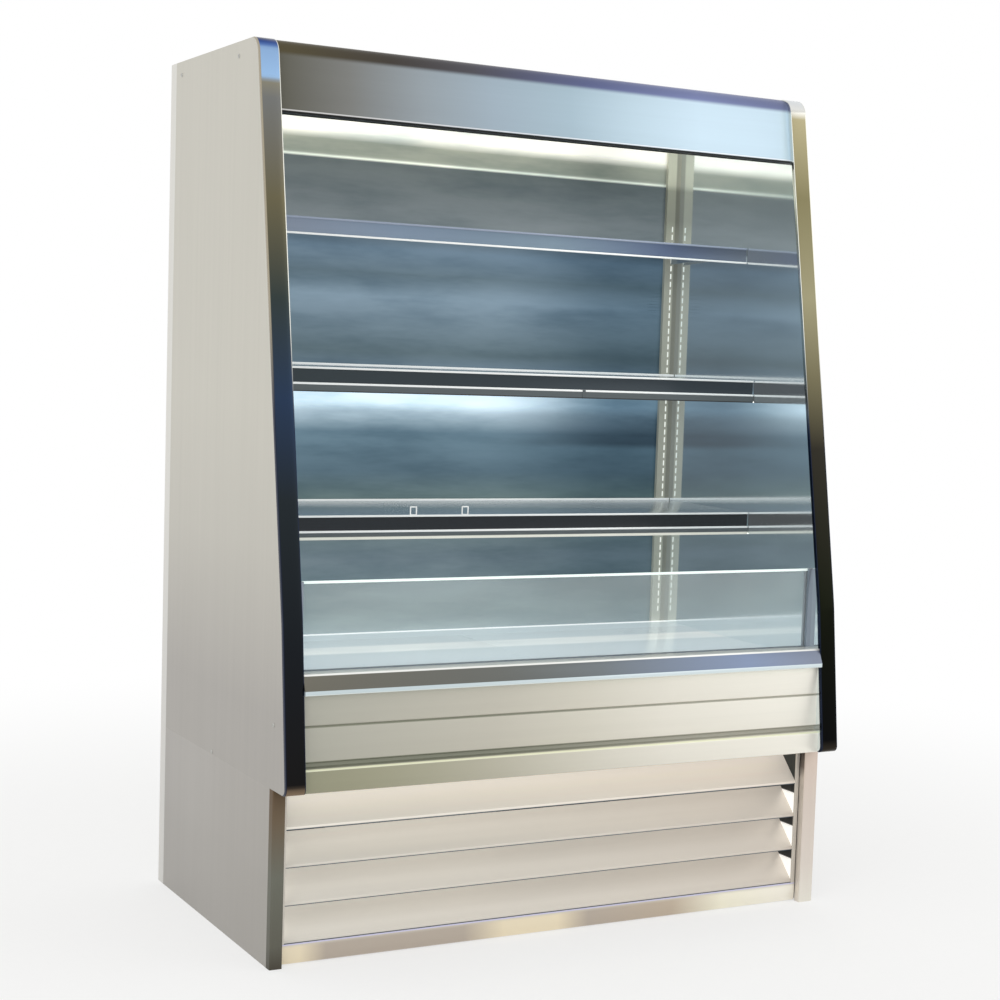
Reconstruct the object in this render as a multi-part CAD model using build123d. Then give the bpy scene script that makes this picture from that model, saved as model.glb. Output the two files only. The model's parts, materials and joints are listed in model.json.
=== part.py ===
from build123d import *
import os

# Open multideck display fridge, millimetres, +Z up, front towards -Y.
# The origin is on the floor, under the middle of the whole cabinet.

# Casing
WIDTH = 1410.0
HEIGHT = 1981.0
BODY_DEPTH = 795.0          # front of the machine base to the back skin
NOSE_REACH = 79.0           # lowest, foremost point of the end panels ahead of the base
REAR_COVER_DEPTH = 15.0
BASE_HEIGHT = 390.0
END_THICKNESS = 44.0
SKIN = 1.0
NOSE_RADIUS = 15.0
KNEE_RISE = 356.0           # where the front edge changes slope, above the base
KNEE_REACH = 38.0
KNEE_RADIUS = 400.0
TOP_SETBACK = 184.0
TOP_RADIUS = 42.0
TRIM_LEG = 10.0
REAR_WRAP = 40.0            # back skin folded round onto the sides

# Tub and its insulation
DECK_RISE = 224.0           # deck above the base
FRONT_PANEL_REACH = 45.0
SKIRT_REACH = 57.0          # lower strip of the front panel
SKIRT_HEIGHT = 50.0         # the lower strip, above the base
GROOVE_RISE = 140.0         # groove above the base
GROOVE_SIZE = 7.0
FRONT_WALL_DEPTH = 61.0
FLOOR_INSULATION = 40.0
BACK_INSULATION = 49.0
ROOF_INSULATION = 50.0
LINER = 1.0
WALL_TOP_DROP = 16.0        # front wall below the deck

# Back wall and air ducts
PANEL = 1.2
AIR_DUCT = 44.8
CANOPY_DUCT = 43.8
TOP_PANEL_HEIGHT = 95.2     # ceiling down to the upper seam
UPPER_PANEL_HEIGHT = 323.0  # upper seam down to the lower one
UPRIGHT_WIDTH = 40.0
UPRIGHT_DEPTH = 10.0
UPRIGHT_WALL = 2.0
SLOT_WIDTH = 5.0
SLOT_LENGTH = 14.0
SLOT_PITCH = 21.0
SLOT_COUNT = 50
FIRST_SLOT = 27.0           # deck to the lowest slot
SLOT_TO_SIDE = 20.0         # slot centre to the side wall

# Canopy
FASCIA_HEIGHT = 157.0
FASCIA_RECESS = 15.0        # behind the front edge of the end panels
FASCIA_BEND = 30.0
FASCIA_SHEET = 1.2
FASCIA_LIP = 22.0           # lower flange
FASCIA_UPTURN = 22.0
ROOF_LAP = 20.0
ROOF_START = 56.0           # roof skin behind the foot of the fascia
HONEYCOMB_DEPTH = 38.0
HONEYCOMB_HEIGHT = 20.0
HONEYCOMB_CELLS = 60
HONEYCOMB_WEB = 2.0
LAMP_RADIUS = 13.0
LAMP_SIDE_GAP = 61.0        # side wall to the lamp end
LAMP_BEHIND = 34.0          # behind the ceiling flange
LAMP_DROP = 22.0            # lamp axis below the ceiling
LAMP_PIN_RADIUS = 5.0
LAMP_PIN_LENGTH = 9.0
CAP_WALL = 0.8
CAP_LENGTH = 20.0
CAP_INSET = 2.0
HOLDER_THICKNESS = 12.0
HOLDER_WALL = 2.0
HOLDER_GAP = 0.5

# Shelves
SHELF_SLOTS = (46, 30, 14)              # slot number of each shelf, top shelf first
SHELF_DEPTHS = (343.0, 399.0, 399.0)    # uprights to the front of the price rail
SHELF_SIDE_GAP = 2.0
SHELF_SHEET = 1.2
SHELF_FLANGE = 15.0
SHELF_REAR_GAP = 4.0
BRACKET_THICKNESS = 3.0
BRACKET_SLIP = 0.5          # bracket in the notches of the shelf's rear flange
BRACKET_REAR_HEIGHT = 34.0
BRACKET_FRONT_HEIGHT = 16.0
TONGUE_HEIGHT = 10.0
TONGUE_REACH = 4.0          # beyond the upright's front wall
RAIL_HEIGHT = 40.0
RAIL_DEPTH = 5.0
RAIL_WALL = 1.2
RAIL_HOOK = 4.5
BRACKET_CLEARANCE = 0.3     # bracket behind the front flange and off the upright
SHELF_LAMP_HEIGHT = 16.0
SHELF_LAMP_DEPTH = 24.0
SHELF_LAMP_WALL = 1.0
CLIP_WIDTH = 18.0
CLIP_RISE = 20.0
CLIP_WIRE = 3.0
CLIP_PLACES = ((), (), (-272.0, -140.0))         # ticket clips from the middle, for each shelf
LAMP_CLIP_WIDTH = 8.0
LAMP_CLIP_PLACES = ((), (168.0,), ())            # clips over the shelf lamps

# Deck, air return and front edge
DECK_SHEET = 1.5
DECK_FLANGE = 20.0
REAR_STRIP = 114.0          # from the lift-out pans to the back wall
DECK_GAP = 1.0
SUPPORT_DEPTH = 14.0
SUPPORT_HEIGHT = 20.0
MID_SUPPORT_DEPTH = 30.0
GRILLE_DEPTH = 127.0
GRILLE_THICKNESS = 16.0
GRILLE_SHEET = 1.5
GRILLE_SLOT = 8.0
GRILLE_PITCH = 20.0
GRILLE_BORDER = 18.0
CHANNEL_DEPTH = 22.0
CHANNEL_HEIGHT = 44.0
GLASS_THICKNESS = 6.0
GLASS_CLEARANCE = 0.2
GLASS_RISE = 219.0          # above the deck
GLASS_SEAT = 14.0           # glass foot above the channel's foot
POST_WIDTH = 12.0
POST_GROOVE = 6.0
BUMPER_WALL = 3.0
BUMPER_REACH = 61.0         # ahead of the base
BUMPER_NOSE_HEIGHT = 10.0
BUMPER_SLOPE = 16.0
BUMPER_DRAIN = 4.0          # radius of the drain hole in each end
BUMPER_DRAIN_BEHIND = 14.0  # ahead of the channel

# Machine base
BASE_SHEET = 1.5
LEFT_JAMB = 28.0            # front flanges of the base, beside the louvre
RIGHT_JAMB = 39.0
JAMB_RETURN = 20.0          # each flange's leg, folded back beside the louvre
FRAME_LEG = 24.0
FRAME_WALL = 3.0
TOP_PLATE = 2.0
TRAY = 2.0
FRAME_GAP = 0.5
LOUVRE_RECESS = 20.0
LOUVRE_DEPTH = 65.0
LOUVRE_SIDE_GAP = 1.5
LOUVRE_POST = 10.0
LOUVRE_FLOOR_GAP = 3.0
LOUVRE_HEAD_GAP = 12.0      # below the top of the base
LOUVRE_SHEET = 1.5
KICK_HEIGHT = 43.0
SLAT_COUNT = 4
SLAT_RISE = 66.0
SLAT_LIP = 7.0
REAR_COVER_DROP = 118.0     # foot of the cover below the top of the base
REAR_COVER_HEIGHT = 466.0
REAR_COVER_MARGIN = 8.0
VENT_COUNT = 36
VENT_PITCH = 32.0
VENT_WIDTH = 8.0
VENT_LENGTH = 64.0
SCREW_RADIUS = 5.0
SCREW_HEAD = 1.6
SCREW_DOME = 1.28
RECESS_LENGTH = 5.0
RECESS_WIDTH = 0.8
TOP_SCREW_DROP = 31.0       # below the top
TOP_SCREWS_BEHIND = (310.0, 714.0)   # behind the front of the base
NOSE_SCREW_BEHIND = 5.0
NOSE_SCREW_RISE = 139.0     # above the base
SIDE_SCREW_BEHIND = 405.0
SIDE_SCREW_RISE = 6.0
GLAND_RADIUS = 11.0
GLAND_THROAT = 7.7
GLAND_BORE = 5.0
GLAND_LENGTH = 12.0
GLAND_TAIL = 6.0            # inside the base
GLAND_SIDE_GAP = 145.0
GLAND_Z = 90.0

# Machinery
RUNNING_FIT = 0.05          # radial clearance of a shaft in its bore
FAN_SHAFT_RADIUS = 3.0
BLADE_THICKNESS = 2.0
BLADE_PITCH = 32.0          # degrees
BLADE_ROOT = 4.0            # blade sunk in the hub
BLADE_OVERHANG = 1.3        # blade width as a share of the hub's length
BLADES = 5
CONDENSER_SIDE_GAP = 165.0
CONDENSER_WIDTH = 420.0
CONDENSER_HEIGHT = 310.0
CONDENSER_DEPTH = 66.0
CONDENSER_BEHIND = 30.0     # behind the louvre
CONDENSER_FAN_RADIUS = 128.0
CONDENSER_HUB_RADIUS = 28.0
SHROUD_DEPTH = 60.0
SHROUD_SHEET = 2.0
SHROUD_CLEARANCE = 7.0
CONDENSER_HUB_LENGTH = 30.0
CONDENSER_HUB_RECESS = 8.0  # inside the shroud's rear
MOTOR_RADIUS = 36.4
MOTOR_LENGTH = 70.0
MOTOR_GAP = 10.0
SHAFT_REACH = 40.0          # shaft inside the shroud
ARM_WIDTH = 24.0
ARM_SHEET = 4.0
ARM_SETBACK = 20.0
ARM_MARGIN = 12.0           # arm's feet beyond the fan opening
COIL_TUBE_RADIUS = 5.0
COIL_PASSES = 10
COIL_PLATE = 2.0
FIN_PITCH = 14.0
FIN_GAP = 5.0
FIN_CUT = 4.0
COMPRESSOR_SIDE_GAP = 85.0  # from the condenser coil
COMPRESSOR_BEHIND = 230.0   # behind the condenser coil
COMPRESSOR_RADIUS = 95.0
COMPRESSOR_HEIGHT = 210.0
COMPRESSOR_FOOT = 240.0
COMPRESSOR_PLATE = 4.0
COMPRESSOR_SINK = 1.0       # can sunk in its plate
COMPRESSOR_DOME = 33.25
SEAM_REACH = 5.0
SEAM_HEIGHT = 6.0
SEAM_SHARE = 0.5            # seam's height as a share of the can's
RUBBER_RADIUS = 14.0
RUBBER_HEIGHT = 18.0
RUBBER_INSET = 20.0
TERMINAL_WIDTH = 60.0
TERMINAL_HEIGHT = 56.0
TERMINAL_REACH = 32.0
TERMINAL_ROOT = 8.0
TERMINAL_RISE = 14.0        # above the seam
CONTROL_SIDE_GAP = 165.0
CONTROL_WIDTH = 220.0
CONTROL_HEIGHT = 230.0
CONTROL_DEPTH = 80.0
CONTROL_SHEET = 1.5
CONTROL_STAND = 60.0
KNOB_RADIUS = 20.0
KNOB_DEPTH = 16.0
GRIP_WIDTH = 8.0
GRIP_DEPTH = 8.0
GRIP_LENGTH = 34.0
SPINDLE_REACH = 9.6
SPINDLE_END_GAP = 0.3
KNOB_OFFSET = -50.0         # from the middle of the control box
SWITCH_OFFSET = 50.0
CONTROL_PARTS_Z = 200.0
SWITCH_WIDTH = 20.0
SWITCH_LENGTH = 30.0
SWITCH_GAP = 1.5
SWITCH_PIN_RADIUS = 1.5
SWITCH_PIN_AHEAD = 2.0      # ahead of the box
SWITCH_PROUD = 3.0          # ahead of its bezel
BEZEL_RIM = 4.0
BEZEL_DEPTH = 6.0
PAN_LENGTH = 420.0
PAN_DEPTH = 200.0
PAN_WALL = 2.0
PAN_WALL_HEIGHT = 45.0
PAN_BEFORE_DRAIN = 170.0    # end of the pan to the drain
PAN_REAR_GAP = 10.0
EVAPORATOR_SIDE_GAP = 101.0
EVAPORATOR_HEADROOM = 24.0  # below the deck's bars
EVAPORATOR_BEHIND = 80.0    # behind the fan plate
EVAPORATOR_DEPTH = 230.0
EVAPORATOR_GAP = 9.0        # coil end plates stand on the tub floor below this
EVAPORATOR_FAN_MARGIN = 25.5         # fan tips off the tub floor and the deck
EVAPORATOR_MOTOR_RADIUS = 20.0
EVAPORATOR_MOTOR_LENGTH = 34.0
EVAPORATOR_MOTOR_BEHIND = 24.0
EVAPORATOR_SHAFT_AHEAD = 12.0
EVAPORATOR_HUB_RADIUS = 16.0
EVAPORATOR_HUB_AHEAD = 10.0
EVAPORATOR_HUB_LENGTH = 22.0
FAN_STRAP_WIDTH = 16.0
FAN_STRAP_SHEET = 3.0
FAN_STRAP_FOOT = 2.0
FAN_STRAP_SETBACK = 8.0
FAN_STRAP_MARGIN = 6.0
EVAPORATOR_FAN_X = 330.0
FAN_PLATE_BEHIND = 240.0    # behind the front liner
PIPE_RADIUS = 6.0
LIQUID_RADIUS = 4.0
PIPE_BEND = 16.0
PIPE_SPACING = 16.0
PIPE_CLEARANCE = 0.3
PIPE_OFF_COIL = 60.0        # pipes outside the end of the condenser coil
PIPE_BEHIND = 30.0          # pipes behind the evaporator coil
SUCTION_SHARE = 0.75        # where the pipes leave, as shares of each height
LIQUID_SHARE = 0.35
CAN_SHARE = 0.7
RETURN_SHARE = 0.6
SLEEVE_RADIUS = 18.0
SLEEVE_TAIL = 12.0
DRAIN_RADIUS = 16.0
DRAIN_WALL = 2.0
DRAIN_RISE = 20.0           # mouth of the drain above the base tray
DRAIN_SIDE_GAP = 405.0

# Planes that several pieces share
SIDE = WIDTH / 2
INNER_X = SIDE - END_THICKNESS
FRONT = -(NOSE_REACH + BODY_DEPTH + REAR_COVER_DEPTH) / 2 + NOSE_REACH
BACK = FRONT + BODY_DEPTH
NOSE_FRONT = FRONT - NOSE_REACH
KNEE_FRONT = FRONT - KNEE_REACH
TOP_FRONT = FRONT + TOP_SETBACK
PANEL_FRONT = FRONT - FRONT_PANEL_REACH
LINER_FRONT = PANEL_FRONT + FRONT_WALL_DEPTH
LINER_BACK = BACK - SKIN - BACK_INSULATION
KNEE_HEIGHT = BASE_HEIGHT + KNEE_RISE
DECK_HEIGHT = BASE_HEIGHT + DECK_RISE
FLOOR_Z = BASE_HEIGHT + FLOOR_INSULATION
WALL_TOP = DECK_HEIGHT - WALL_TOP_DROP
WALL_FACE = LINER_BACK - LINER - AIR_DUCT - PANEL      # visible face of the back wall
UPRIGHT_FACE = WALL_FACE - UPRIGHT_DEPTH
ROOF_UNDERSIDE = HEIGHT - SKIN - ROOF_INSULATION
CEILING_TOP = ROOF_UNDERSIDE - LINER - CANOPY_DUCT
CEILING_Z = CEILING_TOP - PANEL
TOP_SEAM = CEILING_TOP - TOP_PANEL_HEIGHT
LAP_SEAM = TOP_SEAM - UPPER_PANEL_HEIGHT
SKIRT_TOP = BASE_HEIGHT + SKIRT_HEIGHT
GROOVE_Z = BASE_HEIGHT + GROOVE_RISE
REAR_COVER_LOW = BASE_HEIGHT - REAR_COVER_DROP
REAR_COVER_TOP = REAR_COVER_LOW + REAR_COVER_HEIGHT
FASCIA_FOOT = HEIGHT - SKIN - FASCIA_HEIGHT
EDGE_SLOPE = (TOP_SETBACK + KNEE_REACH) / (HEIGHT - KNEE_HEIGHT)
FASCIA_FOOT_Y = KNEE_FRONT + FASCIA_RECESS + EDGE_SLOPE * (FASCIA_FOOT - KNEE_HEIGHT)
FASCIA_TOP_Y = FASCIA_FOOT_Y + EDGE_SLOPE * FASCIA_HEIGHT
ROOF_FRONT = FASCIA_FOOT_Y + ROOF_START
FASCIA_BACK = ROOF_FRONT + ROOF_LAP
HONEYCOMB_FRONT = FASCIA_FOOT_Y + FASCIA_LIP
HONEYCOMB_BACK = HONEYCOMB_FRONT + HONEYCOMB_DEPTH
HONEYCOMB_TOP = FASCIA_FOOT + FASCIA_UPTURN
LAMP_Y = HONEYCOMB_BACK + PANEL + LAMP_BEHIND
LAMP_Z = CEILING_Z - LAMP_DROP
LAMP_REACH = INNER_X - LAMP_SIDE_GAP
SLOT_X = INNER_X - SLOT_TO_SIDE
FRAME_X = SIDE - BASE_SHEET
FRAME_FRONT = FRONT + BASE_SHEET
FRAME_BACK = BACK - BASE_SHEET
FRAME_TOP = BASE_HEIGHT - TOP_PLATE
TRAY_TOP = FRAME_WALL + TRAY
LOUVRE_FRONT = FRONT + LOUVRE_RECESS
LOUVRE_BACK = LOUVRE_FRONT + LOUVRE_DEPTH
LOUVRE_LEFT = -SIDE + LEFT_JAMB + LOUVRE_SIDE_GAP
LOUVRE_RIGHT = SIDE - RIGHT_JAMB - LOUVRE_SIDE_GAP
LOUVRE_TOP = BASE_HEIGHT - LOUVRE_HEAD_GAP
KICK_TOP = LOUVRE_FLOOR_GAP + KICK_HEIGHT
SLAT_PITCH = (LOUVRE_TOP - KICK_TOP) / SLAT_COUNT
SUPPORT_TOP = DECK_HEIGHT - DECK_FLANGE
SUPPORT_FOOT = SUPPORT_TOP - SUPPORT_HEIGHT
GRILLE_FRONT = LINER_FRONT + LINER + DECK_GAP
GRILLE_BACK = GRILLE_FRONT + GRILLE_DEPTH
PAN_FRONT = GRILLE_BACK + DECK_GAP
PAN_BACK = WALL_FACE - REAR_STRIP
DECK_X = INNER_X - DECK_GAP
CHANNEL_BACK = LINER_FRONT
CHANNEL_FRONT = CHANNEL_BACK - CHANNEL_DEPTH
CHANNEL_TOP = WALL_TOP + CHANNEL_HEIGHT
GLASS_BACK = CHANNEL_BACK - (CHANNEL_DEPTH - GLASS_THICKNESS) / 2
GLASS_FRONT = GLASS_BACK - GLASS_THICKNESS
GLASS_FOOT = WALL_TOP + GLASS_SEAT
GLASS_TOP = DECK_HEIGHT + GLASS_RISE
CONDENSER_LEFT = -SIDE + CONDENSER_SIDE_GAP
CONDENSER_RIGHT = CONDENSER_LEFT + CONDENSER_WIDTH
CONDENSER_X = (CONDENSER_LEFT + CONDENSER_RIGHT) / 2
CONDENSER_FRONT = LOUVRE_BACK + CONDENSER_BEHIND
CONDENSER_BACK = CONDENSER_FRONT + CONDENSER_DEPTH
COMPRESSOR_X = CONDENSER_RIGHT + COMPRESSOR_SIDE_GAP + COMPRESSOR_RADIUS
COMPRESSOR_Y = CONDENSER_BACK + COMPRESSOR_BEHIND
CONTROL_X = SIDE - CONTROL_SIDE_GAP - CONTROL_WIDTH / 2
CONTROL_FRONT = CONDENSER_FRONT
KNOB_X = CONTROL_X + KNOB_OFFSET
SWITCH_X = CONTROL_X + SWITCH_OFFSET
GLAND_X = SIDE - GLAND_SIDE_GAP
FAN_PLATE_Y = LINER_FRONT + FAN_PLATE_BEHIND
TUB_FLOOR = FLOOR_Z + LINER
EVAPORATOR_FRONT = FAN_PLATE_Y + EVAPORATOR_BEHIND
EVAPORATOR_BACK = EVAPORATOR_FRONT + EVAPORATOR_DEPTH
EVAPORATOR_LOW = TUB_FLOOR + EVAPORATOR_GAP
EVAPORATOR_HEIGHT = SUPPORT_FOOT - EVAPORATOR_HEADROOM - EVAPORATOR_LOW
EVAPORATOR_X = INNER_X - EVAPORATOR_SIDE_GAP
EVAPORATOR_FAN_RADIUS = (SUPPORT_TOP - TUB_FLOOR) / 2 - EVAPORATOR_FAN_MARGIN
PIPE_X = CONDENSER_LEFT - PIPE_OFF_COIL
PIPE_Y = EVAPORATOR_BACK + PIPE_BEHIND
DRAIN_X = SIDE - DRAIN_SIDE_GAP
DRAIN_Y = PIPE_Y


def block(x0, x1, y0, y1, z0, z1):
    """Box between two opposite corners, given in any order."""
    box = Box(abs(x1 - x0), abs(y1 - y0), abs(z1 - z0))
    return Pos((x0 + x1) / 2, (y0 + y1) / 2, (z0 + z1) / 2) * box


def rod_x(radius, x0, x1, y, z):
    """Round bar along X."""
    return Pos((x0 + x1) / 2, y, z) * Rot(0, 90, 0) * Cylinder(radius, abs(x1 - x0))


def rod_y(radius, x, y0, y1, z):
    """Round bar along Y."""
    return Pos(x, (y0 + y1) / 2, z) * Rot(90, 0, 0) * Cylinder(radius, abs(y1 - y0))


def rod_z(radius, x, y, z0, z1):
    """Round bar along Z."""
    return Pos(x, y, (z0 + z1) / 2) * Cylinder(radius, abs(z1 - z0))


def section(*points):
    """Closed face through (y, z) points."""
    return make_face(Polyline(*points, close=True))


def folded(thickness, *points, bends=None):
    """Face of a folded sheet whose outer side follows (y, z) points; the sheet lies on their right."""
    path = FilletPolyline(*points, radius=bends) if bends else Polyline(*points)
    return make_face(offset(path, amount=thickness, side=Side.RIGHT, kind=Kind.INTERSECTION))


def across(face, x0, x1):
    """Bar along X from a face drawn as (y, z)."""
    return extrude(Plane.YZ.offset(x0) * face, amount=x1 - x0)


def mirrored(shape):
    """The same piece on the left-hand side."""
    return mirror(shape, about=Plane.YZ)


def save(node, *shapes):
    """Write one sub-part. Shapes that aren't fused stay separate solids of it."""
    solids = [solid for shape in shapes for solid in shape.solids()]
    export_step(Compound(solids), f"parts/{node}.step")


# Casing

def end_outline():
    """Side outline of an end panel as a (y, z) face."""
    corners = (
        (NOSE_FRONT, BASE_HEIGHT),
        (KNEE_FRONT, KNEE_HEIGHT),
        (TOP_FRONT, HEIGHT),
        (BACK, HEIGHT),
        (BACK, BASE_HEIGHT),
    )
    bends = (NOSE_RADIUS, KNEE_RADIUS, TOP_RADIUS, 0, 0)
    return make_face(FilletPolyline(*corners, radius=bends, close=True))


def end_panel():
    """Skin, liner, front trim and foam core of the right-hand end panel."""
    outline = end_outline()
    outer = across(outline, INNER_X, SIDE)
    core = across(offset(outline, amount=-SKIN), INNER_X + SKIN, SIDE - SKIN)
    shell = outer - core
    front_edge = across(outline - Pos(TRIM_LEG, 0, 0) * outline, INNER_X, SIDE)
    trim = shell & front_edge
    rear_wrap = block(SIDE - SKIN, SIDE, BACK - REAR_WRAP, BACK, BASE_HEIGHT, HEIGHT)
    rear_sheet = block(INNER_X, SIDE, BACK - SKIN, BACK, BASE_HEIGHT, HEIGHT)
    sheets = shell - front_edge - rear_wrap - rear_sheet
    inner_side = block(INNER_X, INNER_X + SKIN, NOSE_FRONT, BACK, BASE_HEIGHT, HEIGHT)
    return sheets - inner_side, sheets & inner_side, trim, core


def end_panels():
    """Both end panels; returns their foam cores."""
    skin, liner, trim, core = end_panel()
    for name, piece in (("end_skin", skin), ("end_liner", liner), ("end_trim", trim)):
        save(name + "_right", piece)
        save(name + "_left", mirrored(piece))
    return core, mirrored(core)


def insulation(end_cores):
    """Foam cores of the ends, front wall, floor, back and roof."""
    front_core = block(-INNER_X, INNER_X, PANEL_FRONT + SKIN + GROOVE_SIZE, LINER_FRONT,
                       BASE_HEIGHT + SKIN, WALL_TOP)
    floor_core = block(-INNER_X, INNER_X, LINER_FRONT, LINER_BACK, BASE_HEIGHT + SKIN, FLOOR_Z)
    pipe_hole = rod_z(SLEEVE_RADIUS + PIPE_CLEARANCE, PIPE_X, PIPE_Y, BASE_HEIGHT, FLOOR_Z)
    drain_hole = rod_z(DRAIN_RADIUS + PIPE_CLEARANCE, DRAIN_X, DRAIN_Y, BASE_HEIGHT, FLOOR_Z)
    back_core = block(-INNER_X, INNER_X, LINER_BACK, BACK - SKIN, BASE_HEIGHT, HEIGHT - SKIN)
    roof_core = block(-INNER_X, INNER_X, FASCIA_BACK, LINER_BACK, ROOF_UNDERSIDE, HEIGHT - SKIN)
    floor_core = floor_core - pipe_hole - drain_hole
    save("insulation", *end_cores, front_core, floor_core, back_core, roof_core)


def back_skin():
    """Back sheet with its flanges folded onto the sides."""
    sheet = block(-SIDE, SIDE, BACK - SKIN, BACK, BASE_HEIGHT, HEIGHT)
    flange = block(SIDE - SKIN, SIDE, BACK - REAR_WRAP, BACK, BASE_HEIGHT, HEIGHT)
    save("back_skin", sheet + flange + mirrored(flange))


def rear_cover():
    """Shallow cover over the rear vents, open at the top."""
    x = SIDE - REAR_COVER_MARGIN
    rear = BACK + REAR_COVER_DEPTH
    face = block(-x, x, rear - PANEL, rear, REAR_COVER_LOW, REAR_COVER_TOP)
    sill = block(-x, x, BACK, rear, REAR_COVER_LOW, REAR_COVER_LOW + PANEL)
    flange = block(x - PANEL, x, BACK, rear, REAR_COVER_LOW, REAR_COVER_TOP)
    save("rear_cover", face + sill + flange + mirrored(flange))


def roof_skin():
    """Top sheet, which laps over the fascia's flange."""
    save("roof_skin", block(-INNER_X, INNER_X, ROOF_FRONT, BACK - SKIN, HEIGHT - SKIN, HEIGHT))


def inner_liner():
    """Liner of the tub, the duct's rear wall and the underside of the roof."""
    front = block(-INNER_X, INNER_X, LINER_FRONT, LINER_FRONT + LINER, FLOOR_Z, WALL_TOP)
    floor = block(-INNER_X, INNER_X, LINER_FRONT, LINER_BACK, FLOOR_Z, FLOOR_Z + LINER)
    rear = block(-INNER_X, INNER_X, LINER_BACK - LINER, LINER_BACK, FLOOR_Z, ROOF_UNDERSIDE)
    roof = block(-INNER_X, INNER_X, FASCIA_BACK, LINER_BACK, ROOF_UNDERSIDE - LINER, ROOF_UNDERSIDE)
    pipe_hole = rod_z(SLEEVE_RADIUS + PIPE_CLEARANCE, PIPE_X, PIPE_Y, FLOOR_Z, FLOOR_Z + LINER)
    drain_hole = rod_z(DRAIN_RADIUS + PIPE_CLEARANCE, DRAIN_X, DRAIN_Y, FLOOR_Z, FLOOR_Z + LINER)
    save("inner_liner", front + floor + rear + roof - pipe_hole - drain_hole)


# Canopy

def fascia():
    """Folded header sheet: rounded into the roof, with a lower lip that turns up inside."""
    top = HEIGHT - SKIN
    face = folded(
        FASCIA_SHEET,
        (HONEYCOMB_FRONT, HONEYCOMB_TOP),
        (HONEYCOMB_FRONT, FASCIA_FOOT),
        (FASCIA_FOOT_Y, FASCIA_FOOT),
        (FASCIA_TOP_Y, top),
        (FASCIA_BACK, top),
        bends=(0, 0, FASCIA_BEND),
    )
    save("fascia", across(face, -INNER_X, INNER_X))


def air_honeycomb():
    """Cellular grid that straightens the curtain of cold air."""
    x = INNER_X
    low = HONEYCOMB_TOP - HONEYCOMB_HEIGHT
    grid = block(-x, x, HONEYCOMB_FRONT, HONEYCOMB_BACK, low, HONEYCOMB_TOP)
    pitch = 2 * x / HONEYCOMB_CELLS
    rows = (HONEYCOMB_BACK - HONEYCOMB_FRONT - HONEYCOMB_WEB) / 2
    cells = []
    for row in range(2):
        y0 = HONEYCOMB_FRONT + HONEYCOMB_WEB + row * rows
        for column in range(HONEYCOMB_CELLS):
            x0 = -x + HONEYCOMB_WEB / 2 + column * pitch
            cells.append(block(x0, x0 + pitch - HONEYCOMB_WEB, y0, y0 + rows - HONEYCOMB_WEB,
                               low, HONEYCOMB_TOP))
    save("air_honeycomb", grid - cells)


def canopy_ceiling():
    """Ceiling panel under the canopy duct, with a flange down to the honeycomb."""
    face = folded(
        PANEL,
        (HONEYCOMB_BACK, HONEYCOMB_TOP - HONEYCOMB_HEIGHT),
        (HONEYCOMB_BACK, CEILING_TOP),
        (WALL_FACE, CEILING_TOP),
    )
    save("canopy_ceiling", across(face, -INNER_X, INNER_X))


def canopy_lamp():
    """Tube lamp with round end pins, and the two holders that carry it."""
    tube = rod_x(LAMP_RADIUS, -LAMP_REACH, LAMP_REACH, LAMP_Y, LAMP_Z)
    cap_end = LAMP_REACH - CAP_INSET
    collar = rod_x(LAMP_RADIUS + CAP_WALL, cap_end - CAP_LENGTH, cap_end, LAMP_Y, LAMP_Z)
    pin = rod_x(LAMP_PIN_RADIUS, LAMP_REACH, LAMP_REACH + LAMP_PIN_LENGTH, LAMP_Y, LAMP_Z)
    save("canopy_lamp", tube + collar + mirrored(collar) + pin + mirrored(pin))
    radius = LAMP_RADIUS + HOLDER_WALL
    x0 = LAMP_REACH + HOLDER_GAP
    body = block(x0, x0 + HOLDER_THICKNESS, LAMP_Y - radius, LAMP_Y + radius, LAMP_Z, CEILING_Z)
    body += rod_x(radius, x0, x0 + HOLDER_THICKNESS, LAMP_Y, LAMP_Z)
    body -= rod_x(LAMP_PIN_RADIUS + RUNNING_FIT, x0, x0 + LAMP_PIN_LENGTH, LAMP_Y, LAMP_Z)
    save("lamp_holders", body, mirrored(body))


# Back wall and uprights

def back_panels():
    """Three lapped panels in front of the rear air duct."""
    rear = WALL_FACE + PANEL
    save("back_panel_lower", block(-INNER_X, INNER_X, WALL_FACE, rear, SUPPORT_FOOT, LAP_SEAM))
    save("back_panel_upper", block(-INNER_X, INNER_X, WALL_FACE, rear, LAP_SEAM, TOP_SEAM))
    save("back_panel_top", block(-INNER_X, INNER_X, WALL_FACE, rear, TOP_SEAM, CEILING_TOP))


def uprights():
    """Slotted channels in the back corners."""
    x0 = INNER_X - UPRIGHT_WIDTH
    bar = block(x0, INNER_X, UPRIGHT_FACE, WALL_FACE, SUPPORT_TOP, CEILING_Z)
    bar -= block(x0 + UPRIGHT_WALL, INNER_X - UPRIGHT_WALL, UPRIGHT_FACE + UPRIGHT_WALL, WALL_FACE,
                 SUPPORT_TOP, CEILING_Z)
    slots = []
    for number in range(SLOT_COUNT):
        z = DECK_HEIGHT + FIRST_SLOT + number * SLOT_PITCH
        slots.append(block(SLOT_X - SLOT_WIDTH / 2, SLOT_X + SLOT_WIDTH / 2,
                           UPRIGHT_FACE, UPRIGHT_FACE + UPRIGHT_WALL, z, z + SLOT_LENGTH))
    bar -= slots
    save("uprights", bar, mirrored(bar))


# Shelves

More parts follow.
